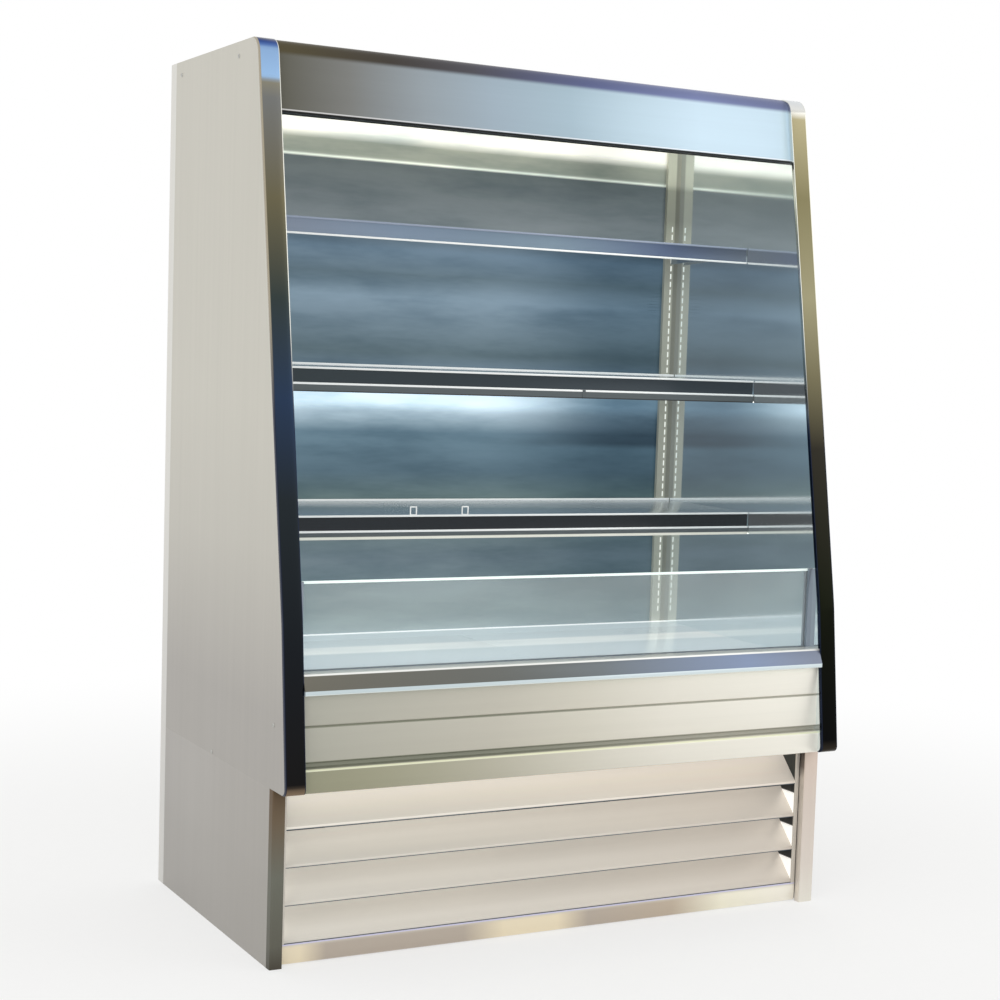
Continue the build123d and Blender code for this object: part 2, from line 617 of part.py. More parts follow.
def shelf_pan(top, front):
    """Shelf sheet with folded front, rear and side flanges."""
    x = INNER_X - SHELF_SIDE_GAP
    y0 = front + RAIL_DEPTH
    y1 = UPRIGHT_FACE - SHELF_REAR_GAP
    low = top - SHELF_FLANGE
    pan = block(-x, x, y0, y1, low, top)
    pan -= block(-x + SHELF_SHEET, x - SHELF_SHEET, y0 + SHELF_SHEET, y1 - SHELF_SHEET,
                 low, top - SHELF_SHEET)
    notch_half = BRACKET_THICKNESS / 2 + BRACKET_SLIP
    notch = block(SLOT_X - notch_half, SLOT_X + notch_half, y1 - SHELF_SHEET, y1, low, top - SHELF_SHEET)
    return pan - notch - mirrored(notch)


def shelf_bracket(top, front):
    """Cantilever bracket with a tongue that sits on the bottom of a slot."""
    head = top - SHELF_SHEET
    wall = UPRIGHT_FACE - BRACKET_CLEARANCE
    tip = UPRIGHT_FACE + UPRIGHT_WALL + TONGUE_REACH
    nose = front + RAIL_DEPTH + SHELF_SHEET + BRACKET_CLEARANCE
    rear_flange = UPRIGHT_FACE - SHELF_REAR_GAP - SHELF_SHEET
    plate = section(
        (nose, head),
        (nose, head - BRACKET_FRONT_HEIGHT),
        (rear_flange, head - BRACKET_REAR_HEIGHT),
        (wall, head - BRACKET_REAR_HEIGHT),
        (wall, head - TONGUE_HEIGHT),
        (tip, head - TONGUE_HEIGHT),
        (tip, head - TONGUE_HEIGHT / 2),
        (tip - TONGUE_REACH / 2, head),
    )
    half = BRACKET_THICKNESS / 2
    return across(plate, SLOT_X - half, SLOT_X + half)


def price_rail(top, front):
    """Ticket moulding: a back web with hooked lips above and below."""
    low = top - RAIL_HEIGHT
    back = front + RAIL_DEPTH
    face = section(
        (back, top),
        (front, top),
        (front, top - RAIL_HOOK),
        (front + RAIL_WALL, top - RAIL_HOOK),
        (front + RAIL_WALL, top - RAIL_WALL),
        (back - RAIL_WALL, top - RAIL_WALL),
        (back - RAIL_WALL, low + RAIL_WALL),
        (front + RAIL_WALL, low + RAIL_WALL),
        (front + RAIL_WALL, low + RAIL_HOOK),
        (front, low + RAIL_HOOK),
        (front, low),
        (back, low),
    )
    x = INNER_X - SHELF_SIDE_GAP
    return across(face, -x, x)


def ticket_clip(x, top, front):
    """Small wire clip that stands on the rail's top: a loop on a foot."""
    half = CLIP_WIDTH / 2
    foot = block(x - half, x + half, front, front + RAIL_DEPTH, top, top + RAIL_WALL)
    loop = block(x - half, x + half, front, front + RAIL_WALL, top, top + CLIP_RISE)
    loop -= block(x - half + CLIP_WIRE, x + half - CLIP_WIRE, front, front + RAIL_WALL,
                  top + RAIL_WALL, top + CLIP_RISE - CLIP_WIRE)
    return foot + loop


def shelf_lamp(top, front):
    """Slim lamp under the price rail: an open channel and its diffuser."""
    high = top - RAIL_HEIGHT
    low = high - SHELF_LAMP_HEIGHT
    back = front + SHELF_LAMP_DEPTH
    x = INNER_X - SHELF_SIDE_GAP
    wall = SHELF_LAMP_WALL
    housing = block(-x, x, front, back, low, high)
    housing -= block(-x + wall, x - wall, front + wall, back - wall, low, high - wall)
    lens = block(-x + wall, x - wall, front + wall, back - wall, low, low + 2 * wall)
    return housing, lens


def lamp_clip(x, top, front):
    """Small clip that hangs from the rail in front of the shelf lamp."""
    high = top - RAIL_HEIGHT + RAIL_HOOK
    low = top - RAIL_HEIGHT - SHELF_LAMP_HEIGHT
    return block(x - LAMP_CLIP_WIDTH / 2, x + LAMP_CLIP_WIDTH / 2, front - SHELF_LAMP_WALL, front, low, high)


def shelves():
    """The three shelves, each a body of its own."""
    lamp_below = (False, True, True)
    for number, (slot, depth) in enumerate(zip(SHELF_SLOTS, SHELF_DEPTHS), start=1):
        seat = DECK_HEIGHT + FIRST_SLOT + slot * SLOT_PITCH
        top = seat + TONGUE_HEIGHT + SHELF_SHEET
        front = UPRIGHT_FACE - depth
        save(f"shelf_pan_{number}", shelf_pan(top, front))
        bracket = shelf_bracket(top, front)
        save(f"shelf_brackets_{number}", bracket, mirrored(bracket))
        clips = [ticket_clip(x, top, front) for x in CLIP_PLACES[number - 1]]
        save(f"price_rail_{number}", price_rail(top, front), *clips)
        if lamp_below[number - 1]:
            clips = [lamp_clip(x, top, front) for x in LAMP_CLIP_PLACES[number - 1]]
            save(f"shelf_lamp_{number}", *shelf_lamp(top, front), *clips)


# Deck and front edge

def deck_supports():
    """Bars across the tub that carry the deck, the grille and the uprights."""
    def bar(y0, y1):
        return block(-INNER_X, INNER_X, y0, y1, SUPPORT_FOOT, SUPPORT_TOP)

    front_bar = bar(LINER_FRONT + LINER, LINER_FRONT + LINER + SUPPORT_DEPTH)
    mid_bar = bar(GRILLE_BACK - MID_SUPPORT_DEPTH / 2, GRILLE_BACK + MID_SUPPORT_DEPTH / 2)
    rear_mid_bar = bar(PAN_BACK - MID_SUPPORT_DEPTH / 2, PAN_BACK + MID_SUPPORT_DEPTH / 2)
    rear_bar = bar(WALL_FACE - SUPPORT_DEPTH, WALL_FACE)
    save("deck_supports", front_bar, mid_bar, rear_mid_bar, rear_bar)


def deck_pan(x0, x1):
    """One lift-out deck pan, folded down on all sides."""
    pan = block(x0, x1, PAN_FRONT, PAN_BACK, SUPPORT_TOP, DECK_HEIGHT)
    return pan - block(x0 + DECK_SHEET, x1 - DECK_SHEET, PAN_FRONT + DECK_SHEET, PAN_BACK - DECK_SHEET,
                       SUPPORT_TOP, DECK_HEIGHT - DECK_SHEET)


def deck():
    """Left and right pans, and the fixed strip behind them."""
    save("deck_pan_left", deck_pan(-DECK_X, -DECK_GAP / 2))
    save("deck_pan_right", deck_pan(DECK_GAP / 2, DECK_X))
    y0 = PAN_BACK + DECK_GAP
    strip = block(-DECK_X, DECK_X, y0, UPRIGHT_FACE, SUPPORT_TOP, DECK_HEIGHT)
    strip -= block(-DECK_X, DECK_X, y0 + DECK_SHEET, UPRIGHT_FACE - DECK_SHEET,
                   SUPPORT_TOP, DECK_HEIGHT - DECK_SHEET)
    save("deck_rear_cover", strip)


def return_grille():
    """Slotted grille where the air goes back down in front of the deck."""
    top = SUPPORT_TOP + GRILLE_THICKNESS
    grille = block(-DECK_X, DECK_X, GRILLE_FRONT, GRILLE_BACK, SUPPORT_TOP, top)
    grille -= block(-DECK_X + GRILLE_SHEET, DECK_X - GRILLE_SHEET,
                    GRILLE_FRONT + GRILLE_SHEET, GRILLE_BACK - GRILLE_SHEET,
                    SUPPORT_TOP, top - GRILLE_SHEET)
    count = int((2 * DECK_X - 2 * GRILLE_BORDER) / GRILLE_PITCH)
    start = -(count - 1) * GRILLE_PITCH / 2
    slots = []
    for number in range(count):
        x = start + number * GRILLE_PITCH
        slots.append(block(x - GRILLE_SLOT / 2, x + GRILLE_SLOT / 2,
                           GRILLE_FRONT + GRILLE_BORDER, GRILLE_BACK - GRILLE_BORDER,
                           top - GRILLE_SHEET, top))
    save("return_grille", grille - slots)


def glass_riser():
    """Glass front edge in its channel, held between grooved end posts."""
    slip = GLASS_CLEARANCE
    glass_x = INNER_X - POST_WIDTH + POST_GROOVE - DECK_GAP
    save("glass_riser", block(-glass_x, glass_x, GLASS_FRONT, GLASS_BACK, GLASS_FOOT, GLASS_TOP))
    channel = block(-INNER_X, INNER_X, CHANNEL_FRONT, CHANNEL_BACK, WALL_TOP, CHANNEL_TOP)
    channel -= block(-INNER_X, INNER_X, GLASS_FRONT - slip, GLASS_BACK + slip, GLASS_FOOT, CHANNEL_TOP)
    post_x = INNER_X - POST_WIDTH
    post = block(post_x, INNER_X, CHANNEL_FRONT, CHANNEL_BACK, CHANNEL_TOP, GLASS_TOP)
    post -= block(post_x, post_x + POST_GROOVE, GLASS_FRONT - slip, GLASS_BACK + slip,
                  CHANNEL_TOP, GLASS_TOP)
    save("riser_channel", channel, post, mirrored(post))


def bumper():
    """Hollow rail along the top of the front panel."""
    nose = FRONT - BUMPER_REACH
    outer = section(
        (CHANNEL_FRONT, WALL_TOP),
        (nose, WALL_TOP),
        (nose, WALL_TOP + BUMPER_NOSE_HEIGHT),
        (nose + BUMPER_SLOPE, CHANNEL_TOP),
        (CHANNEL_FRONT, CHANNEL_TOP),
    )
    hollow = offset(outer, amount=-BUMPER_WALL, kind=Kind.INTERSECTION)
    bar = across(outer - hollow, -INNER_X, INNER_X)
    bar += across(outer, INNER_X - BUMPER_WALL, INNER_X)
    bar += across(outer, -INNER_X, -INNER_X + BUMPER_WALL)
    drain_y = CHANNEL_FRONT - BUMPER_DRAIN_BEHIND
    bar -= rod_x(BUMPER_DRAIN, -INNER_X, INNER_X, drain_y, (WALL_TOP + CHANNEL_TOP) / 2)
    save("bumper", bar)


def front_panel():
    """Front sheet of the tub, with a groove and a deeper lower strip."""
    face = PANEL_FRONT
    skirt = FRONT - SKIRT_REACH
    size = GROOVE_SIZE
    sheet = folded(
        SKIN,
        (LINER_FRONT, BASE_HEIGHT),
        (skirt, BASE_HEIGHT),
        (skirt, SKIRT_TOP - size / 2),
        (skirt + size / 2, SKIRT_TOP),
        (face + size, SKIRT_TOP + size / 2),
        (face + size, SKIRT_TOP + size * 1.5),
        (face, SKIRT_TOP + size * 2),
        (face, GROOVE_Z - size / 2),
        (face + size / 2, GROOVE_Z),
        (face, GROOVE_Z + size / 2),
        (face, WALL_TOP),
    )
    save("front_panel", across(sheet, -INNER_X, INNER_X))


# Machine base

def angle_bar(x0, x1, y0, y1, z0, z1, heel):
    """Angle iron inside the given box; heel gives the box corner of its heel as signs, 0 along its run."""
    spans = ((x0, x1), (y0, y1), (z0, z1))
    legs = []
    for axis, sign in enumerate(heel):
        if sign == 0:
            continue
        leg = [list(span) for span in spans]
        if sign < 0:
            leg[axis][1] = leg[axis][0] + FRAME_WALL
        else:
            leg[axis][0] = leg[axis][1] - FRAME_WALL
        legs.append(block(*leg[0], *leg[1], *leg[2]))
    return legs[0] + legs[1]


def base_frame():
    """Frame of angle iron, with the plate that carries the tub and the tray for the machinery."""
    inner_x = FRAME_X - FRAME_LEG
    post_back = FRAME_FRONT + FRAME_LEG
    rear_front = FRAME_BACK - FRAME_LEG
    bars = []
    for low, high, heel_z in ((0, FRAME_LEG, -1), (FRAME_TOP - FRAME_LEG, FRAME_TOP, 1)):
        side = angle_bar(inner_x, FRAME_X, post_back, rear_front, low, high, (1, 0, heel_z))
        bars += [side, mirrored(side)]
        bars.append(angle_bar(-inner_x, inner_x, LOUVRE_BACK, LOUVRE_BACK + FRAME_LEG, low, high,
                              (0, -1, heel_z)))
        bars.append(angle_bar(-inner_x, inner_x, rear_front, FRAME_BACK, low, high, (0, 1, heel_z)))
    for y0, y1, heel_y in ((FRAME_FRONT, post_back, -1), (rear_front, FRAME_BACK, 1)):
        post = angle_bar(inner_x, FRAME_X, y0, y1, 0, FRAME_TOP, (1, heel_y, 0))
        bars += [post, mirrored(post)]
    plate = block(-FRAME_X, FRAME_X, FRAME_FRONT, FRAME_BACK, FRAME_TOP, BASE_HEIGHT)
    plate -= rod_z(SLEEVE_RADIUS + PIPE_CLEARANCE, PIPE_X, PIPE_Y, FRAME_TOP, BASE_HEIGHT)
    plate -= rod_z(DRAIN_RADIUS + PIPE_CLEARANCE, DRAIN_X, DRAIN_Y, FRAME_TOP, BASE_HEIGHT)
    tray_x = FRAME_X - FRAME_WALL - FRAME_GAP
    tray = block(-tray_x, tray_x, LOUVRE_BACK + FRAME_WALL + FRAME_GAP, FRAME_BACK - FRAME_WALL - FRAME_GAP,
                 FRAME_WALL, TRAY_TOP)
    save("base_frame", *bars, plate, tray)


def base_side(jamb):
    """Right-hand side sheet of the base, with a front flange folded back beside the louvre."""
    jamb_x = SIDE - jamb
    sheet = block(FRAME_X, SIDE, FRAME_FRONT, BACK - REAR_WRAP, 0, BASE_HEIGHT)
    flange = block(jamb_x, SIDE, FRONT, FRAME_FRONT, 0, BASE_HEIGHT)
    leg = block(jamb_x, jamb_x + BASE_SHEET, FRONT, FRONT + JAMB_RETURN, 0, FRAME_TOP)
    return sheet + flange + leg


def base_sides():
    """Both side sheets; the left-hand flange is the narrower one."""
    save("base_sides", base_side(RIGHT_JAMB), mirrored(base_side(LEFT_JAMB)))


def base_rear_panel():
    """Rear sheet of the base, wrapped onto the sides, with vents behind the rear cover."""
    panel = block(-SIDE, SIDE, FRAME_BACK, BACK, 0, BASE_HEIGHT)
    wrap = block(FRAME_X, SIDE, BACK - REAR_WRAP, BACK, 0, BASE_HEIGHT)
    low = REAR_COVER_LOW + 2 * VENT_WIDTH
    vents = []
    for number in range(VENT_COUNT):
        x = (number - (VENT_COUNT - 1) / 2) * VENT_PITCH
        vents.append(block(x - VENT_WIDTH / 2, x + VENT_WIDTH / 2, FRAME_BACK, BACK, low, low + VENT_LENGTH))
    panel = panel + wrap + mirrored(wrap) - vents
    panel -= rod_y(GLAND_THROAT, GLAND_X, FRAME_BACK, BACK, GLAND_Z)
    save("base_rear_panel", panel)


def cable_gland():
    """Bush where the supply comes in through the rear of the base."""
    inner_end = FRAME_BACK - GLAND_TAIL
    outer_end = BACK + GLAND_LENGTH
    gland = rod_y(GLAND_THROAT - RUNNING_FIT, GLAND_X, FRAME_BACK, BACK, GLAND_Z)
    gland += rod_y(GLAND_RADIUS, GLAND_X, BACK, outer_end, GLAND_Z)
    gland += rod_y(GLAND_RADIUS, GLAND_X, inner_end, FRAME_BACK, GLAND_Z)
    gland -= rod_y(GLAND_BORE, GLAND_X, inner_end, outer_end, GLAND_Z)
    save("cable_gland", gland)


def louvre():
    """Lift-off front grille of the base: a frame with cheeks, and its sloping slats."""
    low, top, sheet = LOUVRE_FLOOR_GAP, LOUVRE_TOP, LOUVRE_SHEET
    x0, x1 = LOUVRE_LEFT + LOUVRE_POST, LOUVRE_RIGHT - LOUVRE_POST
    face_back = LOUVRE_FRONT + sheet
    frame = block(x0, x1, LOUVRE_FRONT, face_back, low, KICK_TOP)
    frame += block(x0, x1, LOUVRE_FRONT, LOUVRE_BACK, low, low + sheet)
    frame += block(x0, x1, LOUVRE_FRONT, face_back, top - SLAT_LIP, top)
    frame += block(x0, x1, LOUVRE_FRONT, LOUVRE_BACK, top - sheet, top)
    for post, cheek in ((LOUVRE_LEFT, x0 - sheet), (x1, x1)):
        frame += block(post, post + LOUVRE_POST, LOUVRE_FRONT, face_back, low, top)
        frame += block(cheek, cheek + sheet, LOUVRE_FRONT, LOUVRE_BACK, low, top)
    save("louvre_frame", frame)
    slats = []
    for number in range(SLAT_COUNT):
        foot = KICK_TOP + number * SLAT_PITCH
        slat = folded(
            sheet,
            (face_back, foot),
            (face_back, foot + SLAT_LIP),
            (LOUVRE_BACK - sheet, foot + SLAT_RISE),
        )
        slats.append(across(slat, x0, x1))
    save("louvre_slats", *slats)


def screws():
    """Low screw heads with cross recesses on both sides of the casing."""
    spots = [(FRONT + behind, HEIGHT - TOP_SCREW_DROP) for behind in TOP_SCREWS_BEHIND]
    spots.append((FRONT + NOSE_SCREW_BEHIND, BASE_HEIGHT + NOSE_SCREW_RISE))
    spots.append((FRONT + SIDE_SCREW_BEHIND, BASE_HEIGHT + SIDE_SCREW_RISE))
    long, short = RECESS_LENGTH / 2, RECESS_WIDTH / 2
    heads = []
    for y, z in spots:
        head = rod_x(SCREW_RADIUS, SIDE, SIDE + SCREW_HEAD, y, z)
        head = fillet(head.edges().filter_by(GeomType.CIRCLE).sort_by(Axis.X)[-1], SCREW_DOME)
        head -= block(SIDE + SCREW_HEAD / 2, SIDE + SCREW_HEAD, y - long, y + long, z - short, z + short)
        head -= block(SIDE + SCREW_HEAD / 2, SIDE + SCREW_HEAD, y - short, y + short, z - long, z + long)
        heads += [head, mirrored(head)]
    save("screws", *heads)


# Machinery

def fan(x, y0, y1, z, hub_radius, tip_radius):
    """Axial fan on a shaft along Y: a bored hub with pitched blades."""
    hub = rod_y(hub_radius, x, y0, y1, z)
    width = (y1 - y0) * BLADE_OVERHANG
    span = tip_radius - hub_radius + BLADE_ROOT
    for number in range(BLADES):
        blade = Box(width, BLADE_THICKNESS, span)
        blade = Pos(0, 0, tip_radius - span / 2) * Rot(0, 0, BLADE_PITCH) * blade
        hub += Pos(x, (y0 + y1) / 2, z) * Rot(0, 360 * number / BLADES, 0) * blade
    return hub - rod_y(FAN_SHAFT_RADIUS + RUNNING_FIT, x, y0, y1, z)


def finned_coil(x0, x1, y0, y1, z0, z1):
    """Tube coil: a fin pack with grooves, two end plates and return bends."""
    pack = block(x0 + COIL_PLATE, x1 - COIL_PLATE, y0, y1, z0 + COIL_TUBE_RADIUS, z1 - COIL_TUBE_RADIUS)
    count = int((x1 - x0) / FIN_PITCH) - 1
    grooves = []
    for number in range(count):
        x = x0 + (number + 1) * FIN_PITCH
        grooves.append(block(x, x + FIN_GAP, y0, y0 + FIN_CUT, z0, z1))
        grooves.append(block(x, x + FIN_GAP, y1 - FIN_CUT, y1, z0, z1))
    pack -= grooves
    plates = block(x0, x0 + COIL_PLATE, y0, y1, z0, z1) + block(x1 - COIL_PLATE, x1, y0, y1, z0, z1)
    rise = (z1 - z0) / COIL_PASSES
    bends = []
    for number in range(COIL_PASSES // 2):
        centre = Plane(((x1), (y0 + y1) / 2, z0 + rise * (2 * number + 1)), x_dir=(1, 0, 0), z_dir=(0, 1, 0))
        ring = centre * Torus(rise / 2, COIL_TUBE_RADIUS)
        bends.append(ring & block(x1, x1 + rise, y0, y1, z0, z1))
    coil = pack + plates
    for bend in bends:
        coil += bend
    return coil


def condenser():
    """Condenser coil, its fan shroud with the motor, and the fan."""
    x0, x1 = CONDENSER_LEFT, CONDENSER_RIGHT
    z0 = TRAY_TOP
    z1 = z0 + CONDENSER_HEIGHT
    save("condenser_coil", finned_coil(x0, x1, CONDENSER_FRONT, CONDENSER_BACK, z0, z1))
    axis_z = (z0 + z1) / 2
    back = CONDENSER_BACK + SHROUD_DEPTH
    opening = CONDENSER_FAN_RADIUS + SHROUD_CLEARANCE
    shroud = block(x0, x1, CONDENSER_BACK, back, z0, z1)
    shroud -= block(x0 + SHROUD_SHEET, x1 - SHROUD_SHEET, CONDENSER_BACK, back - SHROUD_SHEET,
                    z0 + SHROUD_SHEET, z1 - SHROUD_SHEET)
    shroud -= rod_y(opening, CONDENSER_X, back - SHROUD_SHEET, back, axis_z)
    save("condenser_shroud", shroud, condenser_motor(back, axis_z, opening + ARM_MARGIN))
    hub_back = back - CONDENSER_HUB_RECESS
    save("condenser_fan", fan(CONDENSER_X, hub_back - CONDENSER_HUB_LENGTH, hub_back, axis_z,
                              CONDENSER_HUB_RADIUS, CONDENSER_FAN_RADIUS))


def condenser_motor(shroud_back, axis_z, arm_reach):
    """Motor with its shaft, on an arm across the shroud's opening."""
    front = shroud_back + MOTOR_GAP
    arm_front = front + ARM_SETBACK
    arm_back = arm_front + ARM_SHEET
    arm_x0, arm_x1 = CONDENSER_X - ARM_WIDTH / 2, CONDENSER_X + ARM_WIDTH / 2
    motor = rod_y(MOTOR_RADIUS, CONDENSER_X, front, front + MOTOR_LENGTH, axis_z)
    motor += rod_y(FAN_SHAFT_RADIUS, CONDENSER_X, shroud_back - SHAFT_REACH, front, axis_z)
    motor += block(arm_x0, arm_x1, arm_front, arm_back, axis_z - arm_reach, axis_z + arm_reach)
    for z in (axis_z - arm_reach, axis_z + arm_reach):
        motor += block(arm_x0, arm_x1, shroud_back, arm_back, z - ARM_SHEET / 2, z + ARM_SHEET / 2)
    return motor


def compressor():
    """Hermetic compressor: a domed can on a foot plate with four rubber feet."""
    x, y = COMPRESSOR_X, COMPRESSOR_Y
    radius = COMPRESSOR_RADIUS
    half = COMPRESSOR_FOOT / 2
    plate_z = TRAY_TOP + RUBBER_HEIGHT
    can_z = plate_z + COMPRESSOR_PLATE - COMPRESSOR_SINK
    can = rod_z(radius, x, y, can_z, can_z + COMPRESSOR_HEIGHT)
    can = fillet(can.edges().filter_by(GeomType.CIRCLE), COMPRESSOR_DOME)
    seam_z = plate_z + COMPRESSOR_HEIGHT * SEAM_SHARE
    can += rod_z(radius + SEAM_REACH, x, y, seam_z, seam_z + SEAM_HEIGHT)
    can += block(x - half, x + half, y - half, y + half, plate_z, plate_z + COMPRESSOR_PLATE)
    box_z = seam_z + TERMINAL_RISE
    can += block(x + radius - TERMINAL_ROOT, x + radius + TERMINAL_REACH,
                 y - TERMINAL_WIDTH / 2, y + TERMINAL_WIDTH / 2, box_z, box_z + TERMINAL_HEIGHT)
    spot = half - RUBBER_INSET
    feet = []
    for foot_x in (x - spot, x + spot):
        for foot_y in (y - spot, y + spot):
            feet.append(rod_z(RUBBER_RADIUS, foot_x, foot_y, TRAY_TOP, plate_z))
    save("compressor", can, *feet)


def condensate_pan():
    """Evaporating tray under the drain."""
    x0 = DRAIN_X - PAN_BEFORE_DRAIN
    x1 = x0 + PAN_LENGTH
    y1 = FRAME_BACK - FRAME_LEG - PAN_REAR_GAP
    y0 = y1 - PAN_DEPTH
    pan = block(x0, x1, y0, y1, TRAY_TOP, TRAY_TOP + PAN_WALL_HEIGHT)
    pan -= block(x0 + PAN_WALL, x1 - PAN_WALL, y0 + PAN_WALL, y1 - PAN_WALL,
                 TRAY_TOP + PAN_WALL, TRAY_TOP + PAN_WALL_HEIGHT)
    save("condensate_pan", pan)


def control_box():
    """Electrical box behind the louvre, with the thermostat spindle and the switch's bezel."""
    x0 = CONTROL_X - CONTROL_WIDTH / 2
    x1 = x0 + CONTROL_WIDTH
    y0 = CONTROL_FRONT
    y1 = y0 + CONTROL_DEPTH
    z0 = TRAY_TOP + CONTROL_STAND
    z1 = z0 + CONTROL_HEIGHT
    z = CONTROL_PARTS_Z
    sheet = CONTROL_SHEET
    box = block(x0, x1, y0, y1, z0, z1)
    box -= block(x0 + sheet, x1 - sheet, y0 + sheet, y1, z0 + sheet, z1 - sheet)
    for x in (x0, x1 - sheet):
        box += block(x, x + sheet, y0, y1, TRAY_TOP, z0)
    box += rod_y(FAN_SHAFT_RADIUS, KNOB_X, y0 - SPINDLE_REACH, y0, z)
    half_x = SWITCH_WIDTH / 2 + BEZEL_RIM
    half_z = SWITCH_LENGTH / 2 + BEZEL_RIM
    well_x = SWITCH_WIDTH / 2 + SWITCH_GAP
    well_z = SWITCH_LENGTH / 2 + SWITCH_GAP
    box += block(SWITCH_X - half_x, SWITCH_X + half_x, y0 - BEZEL_DEPTH, y0, z - half_z, z + half_z)
    box -= block(SWITCH_X - well_x, SWITCH_X + well_x, y0 - BEZEL_DEPTH, y0 + sheet, z - well_z, z + well_z)
    box += rod_x(SWITCH_PIN_RADIUS, SWITCH_X - well_x, SWITCH_X + well_x, y0 - SWITCH_PIN_AHEAD, z)
    save("control_box", box)


def thermostat_knob():
    """Knob with a grip bar, bored for the thermostat's spindle."""
    z = CONTROL_PARTS_Z
    back = CONTROL_FRONT - SWITCH_GAP
    front = back - KNOB_DEPTH
    knob = rod_y(KNOB_RADIUS, KNOB_X, front, back, z)
    knob += block(KNOB_X - GRIP_WIDTH / 2, KNOB_X + GRIP_WIDTH / 2, front - GRIP_DEPTH, front,
                  z - GRIP_LENGTH / 2, z + GRIP_LENGTH / 2)
    bore_end = CONTROL_FRONT - SPINDLE_REACH - SPINDLE_END_GAP
    knob -= rod_y(FAN_SHAFT_RADIUS + RUNNING_FIT, KNOB_X, bore_end, CONTROL_FRONT, z)
    save("thermostat_knob", knob)


def light_switch():
    """Rocker on the pin across its bezel."""
    z = CONTROL_PARTS_Z
    y0 = CONTROL_FRONT
    half_x, half_z = SWITCH_WIDTH / 2, SWITCH_LENGTH / 2
    rocker = block(SWITCH_X - half_x, SWITCH_X + half_x, y0 - BEZEL_DEPTH - SWITCH_PROUD, y0,
                   z - half_z, z + half_z)
    rocker -= rod_x(SWITCH_PIN_RADIUS + RUNNING_FIT, SWITCH_X - half_x, SWITCH_X + half_x,
                    y0 - SWITCH_PIN_AHEAD, z)
    save("light_switch", rocker)


def evaporator_motor(x, axis_z, strap_reach):
    """Motor with its shaft, on a strap behind the fan plate."""
    front = FAN_PLATE_Y + EVAPORATOR_MOTOR_BEHIND
    strap_front = front + FAN_STRAP_SETBACK
    strap_back = strap_front + FAN_STRAP_SHEET
    x0, x1 = x - FAN_STRAP_WIDTH / 2, x + FAN_STRAP_WIDTH / 2
    motor = rod_y(EVAPORATOR_MOTOR_RADIUS, x, front, front + EVAPORATOR_MOTOR_LENGTH, axis_z)
    motor += rod_y(FAN_SHAFT_RADIUS, x, FAN_PLATE_Y - EVAPORATOR_SHAFT_AHEAD, front, axis_z)
    motor += block(x0, x1, strap_front, strap_back, axis_z - strap_reach, axis_z + strap_reach)
    for z in (axis_z - strap_reach, axis_z + strap_reach - FAN_STRAP_FOOT):
        motor += block(x0, x1, FAN_PLATE_Y + SHROUD_SHEET, strap_back, z, z + FAN_STRAP_FOOT)
    return motor


def evaporator():
    """Evaporator coil on the tub floor, and the plate with the two circulating fans."""
    high = EVAPORATOR_LOW + EVAPORATOR_HEIGHT
    x1 = EVAPORATOR_X
    coil = finned_coil(-x1, x1, EVAPORATOR_FRONT, EVAPORATOR_BACK, EVAPORATOR_LOW, high)
    for x in (-x1, x1 - COIL_PLATE):
        coil += block(x, x + COIL_PLATE, EVAPORATOR_FRONT, EVAPORATOR_BACK, TUB_FLOOR, high)
    save("evaporator_coil", coil)
    plate_back = FAN_PLATE_Y + SHROUD_SHEET
    plate = block(-DECK_X, DECK_X, FAN_PLATE_Y, plate_back, TUB_FLOOR, SUPPORT_TOP)
    axis_z = (TUB_FLOOR + SUPPORT_TOP) / 2
    opening = EVAPORATOR_FAN_RADIUS + SHROUD_CLEARANCE
    hub_front = FAN_PLATE_Y - EVAPORATOR_HUB_AHEAD
    motors = []
    for side, x in (("left", -EVAPORATOR_FAN_X), ("right", EVAPORATOR_FAN_X)):
        plate -= rod_y(opening, x, FAN_PLATE_Y, plate_back, axis_z)
        motors.append(evaporator_motor(x, axis_z, opening + FAN_STRAP_MARGIN))
        save(f"evaporator_fan_{side}", fan(x, hub_front, hub_front + EVAPORATOR_HUB_LENGTH, axis_z,
                                           EVAPORATOR_HUB_RADIUS, EVAPORATOR_FAN_RADIUS))
    save("evaporator_fan_plate", plate, *motors)


def pipe(radius, *corners):
    """Round pipe bent along a path of straight runs and arcs."""
    path = FilletPolyline(*corners, radius=PIPE_BEND)
    return sweep(Plane(path @ 0, z_dir=path % 0) * Circle(radius), path=path)


